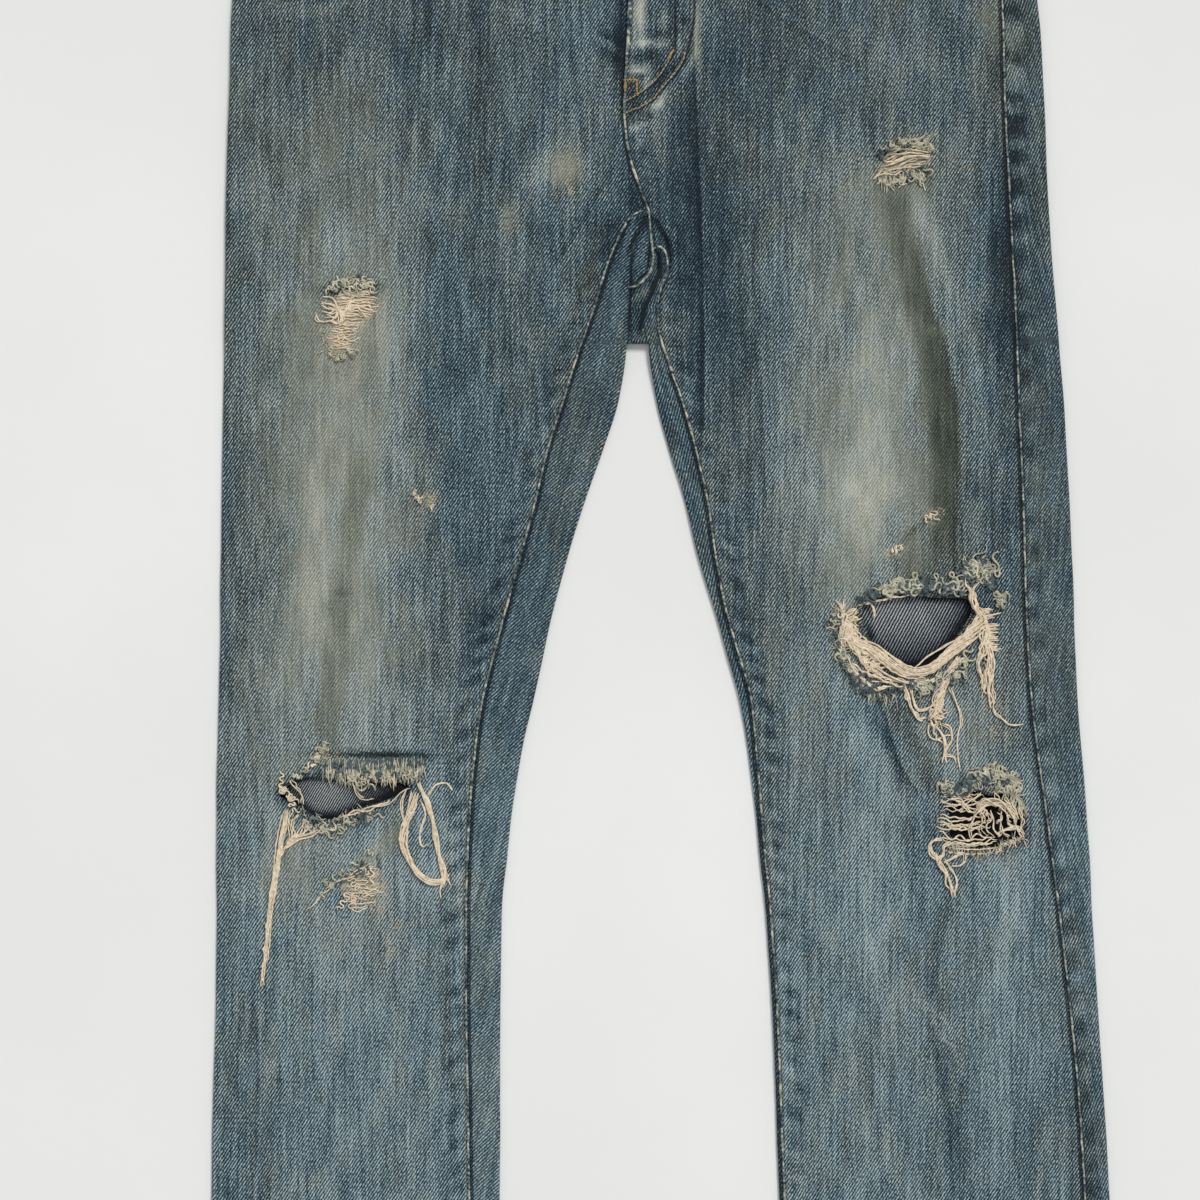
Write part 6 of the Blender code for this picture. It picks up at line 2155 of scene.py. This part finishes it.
    # The shin: wavy wefts with gaps between them, and one ring
    weft += wefts([(-372, 203, 224), (-380, 202, 234), (-384, 203, 228)], CREAM * 0.8, 241, gap=1.9,
        sag=1.4, wavy=1.2)
    weft += wefts([(-386, 201, 232), (-391, 201, 226), (-396, 200, 232)], CREAM * 0.85, 242, gap=1.7,
        sag=2.2, wavy=1.2)
    weft += wefts([(-398, 200, 230), (-403, 202, 238)], CREAM * 0.85, 243, gap=1.7, sag=2.6, wavy=1.2)
    weft += wefts([(-405, 206, 234), (-411, 204, 240)], CREAM * 0.85, 244, gap=1.7, sag=1.8, wavy=1.0)
    weft += bundle([(224, -386), (229, -380), (236, -379), (244, -384), (250, -391)], 20, (3, 5, 6, 6, 5),
        CREAM * 0.9, 245, twist=0.5, lift=1.4, stray=0.3)
    weft += bundle([(231, -379), (225, -384), (222, -391), (220, -398), (221, -403)], 4, (2.6, 1.8),
        CREAM * 0.8, 246, lift=2.0)
    for number, x in enumerate([226, 230, 234, 239]):
        weft += bundle([(x, -382 - number), (x + 2, -390), (x + 1, -397), (x + 6, -402)], 3, (2.4, 1.4),
            CREAM * 0.7, 286 + number, lift=1.2, stray=0.5)
    weft += bundle([(206, -376), (214, -380), (222, -386), (226, -384)], 5, (3, 2), CREAM * 0.8, 248)
    weft += bundle([(226, -372), (220, -380), (214, -386)], 5, (3, 2), CREAM * 0.8, 249)
    weft += bundle([(236, -372), (239, -378), (246, -382), (251, -388)], 6, (4, 2), CREAM * 0.8, 250)
    weft += curls([(228, -388), (238, -392), (244, -396)], 14, 5.0, CREAM * 0.6, 251, 5.0)
    for number, (x, y) in enumerate([(243, -376), (247, -378), (251, -382)]):
        weft += bundle([(x, y), (x + 3, y - 8), (x + 2, y - 15), (x + 6 - number, y - 21)], 5,
            (2.4, 2.0, 1.4), CREAM * 0.8, 293 + number, lift=1.0, stray=0.5)
    warp += fringe([(240, -370), (248, -372), (254, -380)], 60, 11.0, BLUE * 1.1, 297,
        direction=(0.1, -1), lean=0.4)
    blue += curls([(206, -372), (222, -368), (234, -364), (248, -368)], 90, 5.0, BLUE * 1.1, 247, 4.0)
    blue += fringe([(206, -412), (228, -416), (246, -406), (256, -402)], 110, 5.0, BLUE * 0.8, 290,
        direction=(0.1, 0.9))
    weft += bundle([(238, -401), (245, -396.6), (252, -396), (255.5, -400)], 10, (3, 3, 2), CREAM * 0.9,
        252)
    warp += fringe([(206, -413), (218, -413), (228, -417), (236, -412), (246, -407), (252, -406)], 150,
        6.0, BLUE * 0.8, 253, direction=(0.1, 0.9), lean=0.3)
    weft += fringe([(236, -409), (246, -404), (255, -402)], 90, 5.0, CREAM * 0.6, 254,
        direction=(0.1, -0.5), lean=0.5)
    warp += curls([(224, -366), (234, -362), (244, -365), (251, -372)], 80, 7.0, BLUE * 1.1, 255, 4.0,
        outward=3.0)
    warp += curls([(202, -370), (212, -371), (222, -371)], 44, 5.0, BLUE * 1.05, 256, 3.0)
    warp += fringe([(230, -372), (242, -372), (252, -380)], 50, 8.0, BLUE * 0.9, 257,
        direction=(0.2, 0.8), lean=0.4)
    warp += fringe([(246, -388), (252, -386), (257, -390)], 24, 9.0, BLUE * 0.9, 258, direction=(0.1, 1),
        lean=0.3)
    weft += bundle([(202, -404), (196, -406), (194.6, -411.5), (199, -416), (204, -414), (204, -408),
        (208, -405)], 16, (3.4, 3), CREAM, 259, stray=0.3)
    weft += bundle([(199, -412), (200.7, -420), (205.4, -428), (208, -435), (209.6, -441)], 14,
        (4, 4, 3, 1.6), CREAM, 260, stray=0.4)
    weft += bundle([(204, -416), (208, -424), (211.5, -431), (210.5, -436.8), (209.6, -443)], 8,
        (3, 2, 1.2), CREAM, 261)
    weft += bundle([(203, -418), (210, -415), (216, -413), (216, -418), (208, -421)], 8, (2.4, 2),
        CREAM * 0.9, 262)
    # The patch on the thigh: flat bundles that rise to the outer side, with a fan of green ends round them
    for number, (low, high) in enumerate([(27, 34), (29.5, 37), (32, 40), (35, 42.5), (38, 44)]):
        made = warp if number in (1, 4) else weft
        made += bundle([(161 + number * 1.2, low), (170, low + 1.6), (181, high - 1.4),
            (193 + number * 0.6, high)], 8, (3.4, 4, 3.6, 3), CREAM * 0.85, 271 + number, stray=0.25,
            ends=0.06)
    weft += bundle([(180, 43.5), (183, 45), (187, 44.6), (184, 42), (178, 43)], 6, (1.6, 1.6),
        CREAM * 0.9, 276)
    weft += bundle([(166, 31), (162, 28), (157, 24.5)], 4, (2.4, 1.2), CREAM * 0.8, 277)
    weft += bundle([(180, 31), (179, 26), (176, 21), (173.6, 18)], 5, (2.4, 2, 1.2), CREAM * 0.8, 278)
    weft += bundle([(186, 30), (187.6, 25), (190, 20.5), (192, 17)], 6, (3, 2.4, 2), CREAM * 0.7, 279,
        stray=0.3)
    warp += fringe([(164, 37), (168, 42), (176, 45), (188, 46), (194, 43)], 66, 6.6, BLUE * 1.2, 264,
        direction=(0.5, 0.6), lean=0.5)
    warp += fringe([(161, 27), (164, 24), (168, 24)], 44, 8.0, BLUE * 1.1, 265, direction=(0.3, -0.8),
        lean=0.3)
    warp += curls([(166, 44), (176, 48), (188, 48), (194, 44)], 44, 4.4, BLUE * 1.1, 266, 3.0)
    warp += curls([(166, 24), (174, 24), (184, 25), (191, 27)], 50, 5.0, BLUE * 1.1, 267, 3.4)
    blue += curls([(163, 40), (172, 45), (186, 46)], 12, 4.0, BLUE * 0.9, 268, 3.0)
    blue += curls([(168, 26), (178, 26), (190, 30)], 16, 4.4, BLUE * 0.9, 269, 3.0)
    # The small spots
    weft += curls([(193, -195), (199, -193)], 14, 3.4, CREAM * 0.7, 281, 2.6)
    weft += curls([(169, -216), (176, -215)], 14, 3.4, CREAM * 0.7, 282, 2.6)
    return weft, warp, blue


def add_threads(sewing):
    kinds = (("weft", "loose_weft"), ("warp", "loose_warp"), ("blue", "dark_warp"))
    for side, made in (("right", right_leg_threads()), ("left", left_leg_threads())):
        for (look, name), strands in zip(kinds, made):
            piece = strands_piece(f"{side}_leg_{name}", strands, sewing.looks[look])
            sewing.keep(f"{side}_front", piece)


# Stage, light and camera


def make_stage():
    made, tree, inputs = new_material("painted floor", roughness=0.9)
    place = object_place(tree)
    mottled = noise(tree, place, 3.0, 3.0)
    stops = [(0.3, (236, 237, 235)), (0.7, (242, 243, 242))]
    join(tree, inputs["Base Color"], colours(tree, mottled, stops))
    bumped(tree, inputs, noise(tree, place, 60.0, 2.0), 0.4, 0.3)
    shape = bmesh.new()
    bmesh.ops.create_grid(shape, x_segments=1, y_segments=1, size=3)
    mesh = finished(shape, "floor")
    mesh.materials.append(made)
    floor = bpy.data.objects.new("floor", mesh)
    bpy.context.scene.collection.objects.link(floor)


def make_light():
    world = bpy.data.worlds.new("soft room")
    bpy.context.scene.world = world
    world.use_nodes = True
    sky = world.node_tree.nodes["Background"].inputs
    sky["Color"].default_value = (0.97, 0.985, 1.0, 1.0)
    sky["Strength"].default_value = 0.50
    lamp = bpy.data.lights.new("window", "SUN")
    lamp.energy = 1.95
    lamp.angle = 0.30
    lamp.color = (1.0, 0.985, 0.96)
    window = bpy.data.objects.new("window", lamp)
    window.rotation_euler = (np.radians(-38), np.radians(24), 0)
    bpy.context.scene.collection.objects.link(window)
    bpy.context.scene.view_settings.view_transform = "Standard"


VIEW_MIDDLE = (-19.5, -248.3, 0.0)  # the middle of the view, on the garment
VIEW_WIDTH = 780.0
CAMERA_HEIGHT = 1300.0


def make_camera():
    data = bpy.data.cameras.new("camera")
    data.sensor_width = 36
    data.lens = data.sensor_width * CAMERA_HEIGHT / VIEW_WIDTH
    camera = bpy.data.objects.new("camera", data)
    x, y, _ = to_frame(VIEW_MIDDLE)
    camera.location = (x, y, CAMERA_HEIGHT * MM)
    bpy.context.scene.collection.objects.link(camera)
    bpy.context.scene.camera = camera


# Topstitching: (look, name, stops)
TOPSTITCHING = [
    ("tan", "tan topstitching", [(0.3, (78, 70, 56)), (0.5, (128, 112, 84)), (0.75, (176, 158, 122))]),
    ("pale tan", "pale topstitching", [
        (0.3, (116, 102, 76)), (0.5, (178, 160, 120)), (0.75, (226, 210, 170)),
    ]),
    ("brown", "brown topstitching", [(0.25, (62, 52, 48)), (0.5, (100, 84, 72)), (0.8, (146, 128, 106))]),
    ("gold", "gold topstitching", [(0.25, (120, 92, 44)), (0.5, (182, 144, 74)), (0.8, (222, 190, 122))]),
]
# Loose threads: (look, name, size of strands, places of the stops, their colours as lit, half-shaded and
# shaded copies)
LOOSE_THREADS = [
    ("weft", "loose weft", 420.0, (0.3, 0.5, 0.7), [
        [(178, 160, 133), (230, 213, 185), (250, 239, 217)],
        [(128, 112, 90), (187, 170, 142), (220, 205, 180)],
        [(58, 52, 46), (106, 92, 76), (150, 132, 110)],
    ]),
    ("warp", "loose warp", 260.0, (0.32, 0.5, 0.7), [
        [(112, 114, 98), (182, 179, 156), (226, 219, 196)],
        [(68, 76, 72), (124, 128, 114), (168, 168, 150)],
        [(24, 34, 42), (50, 60, 64), (88, 96, 94)],
    ]),
    # Dark indigo warp ends, which also stand in for the shade in the gaps under the ruffles
    ("blue", "blue ends", 260.0, (0.32, 0.5, 0.7), [
        [(34, 50, 58), (76, 92, 96), (128, 138, 132)],
        [(24, 42, 52), (56, 76, 84), (94, 110, 112)],
        [(12, 22, 32), (30, 44, 54), (58, 72, 78)],
    ]),
]


def make_yarns():
    """The looks of all that is sewn on or hangs loose."""
    looks = {"ridge": ridge_denim()}
    for look, name, stops in TOPSTITCHING:
        looks[look] = yarn(name, stops)
    for look, name, size, places, colours_of in LOOSE_THREADS:
        # The plain look is the lit copy, dull the half-shaded one and shaded the darkest: painted light and
        # shade
        shades = zip(("", ", dull", ", shaded"), colours_of)
        looks[look] = [yarn(name + shade, list(zip(places, tones)), size) for shade, tones in shades]
    return looks


def lies_on(name):
    """What a panel rests on."""
    if name.endswith("_front"):
        return name.replace("front", "back")
    if name.endswith("facing"):
        return name.replace("pocket_facing", "yoke")
    return "waistband" if name.endswith("front_belt_loop") else "floor"


def main():
    make_stage()
    make_light()
    make_camera()
    twill = build_twill()
    inside_look = denim_reverse(twill)
    front = denim("front denim", twill, contrast=0.83)
    back = denim("back denim", twill, shift=-0.03, contrast=0.72)
    trim = denim("trim denim", twill, shift=-0.05)
    facing = denim("facing denim", twill, shift=-0.20)
    sewing = Sewing(make_yarns())
    panels = [
        *make_fronts([front, inside_look]),
        *make_backs([back, inside_look]),
        *make_yokes([back, inside_look]),
        *make_pocket_facings([facing]),
        *make_back_pockets([trim]),
        *make_waistband([trim]),
        *make_belt_loops([trim]),
    ]
    make_button(old_brass())
    for sew in (sew_inseams, sew_fly, sew_outseams, sew_mouths_and_hems, sew_back, sew_band, add_threads):
        sew(sewing)
    for name, piece, grids in panels:
        declare_cloth(piece, grids, [lies_on(name)], sewing.on.get(name, ()))


main()
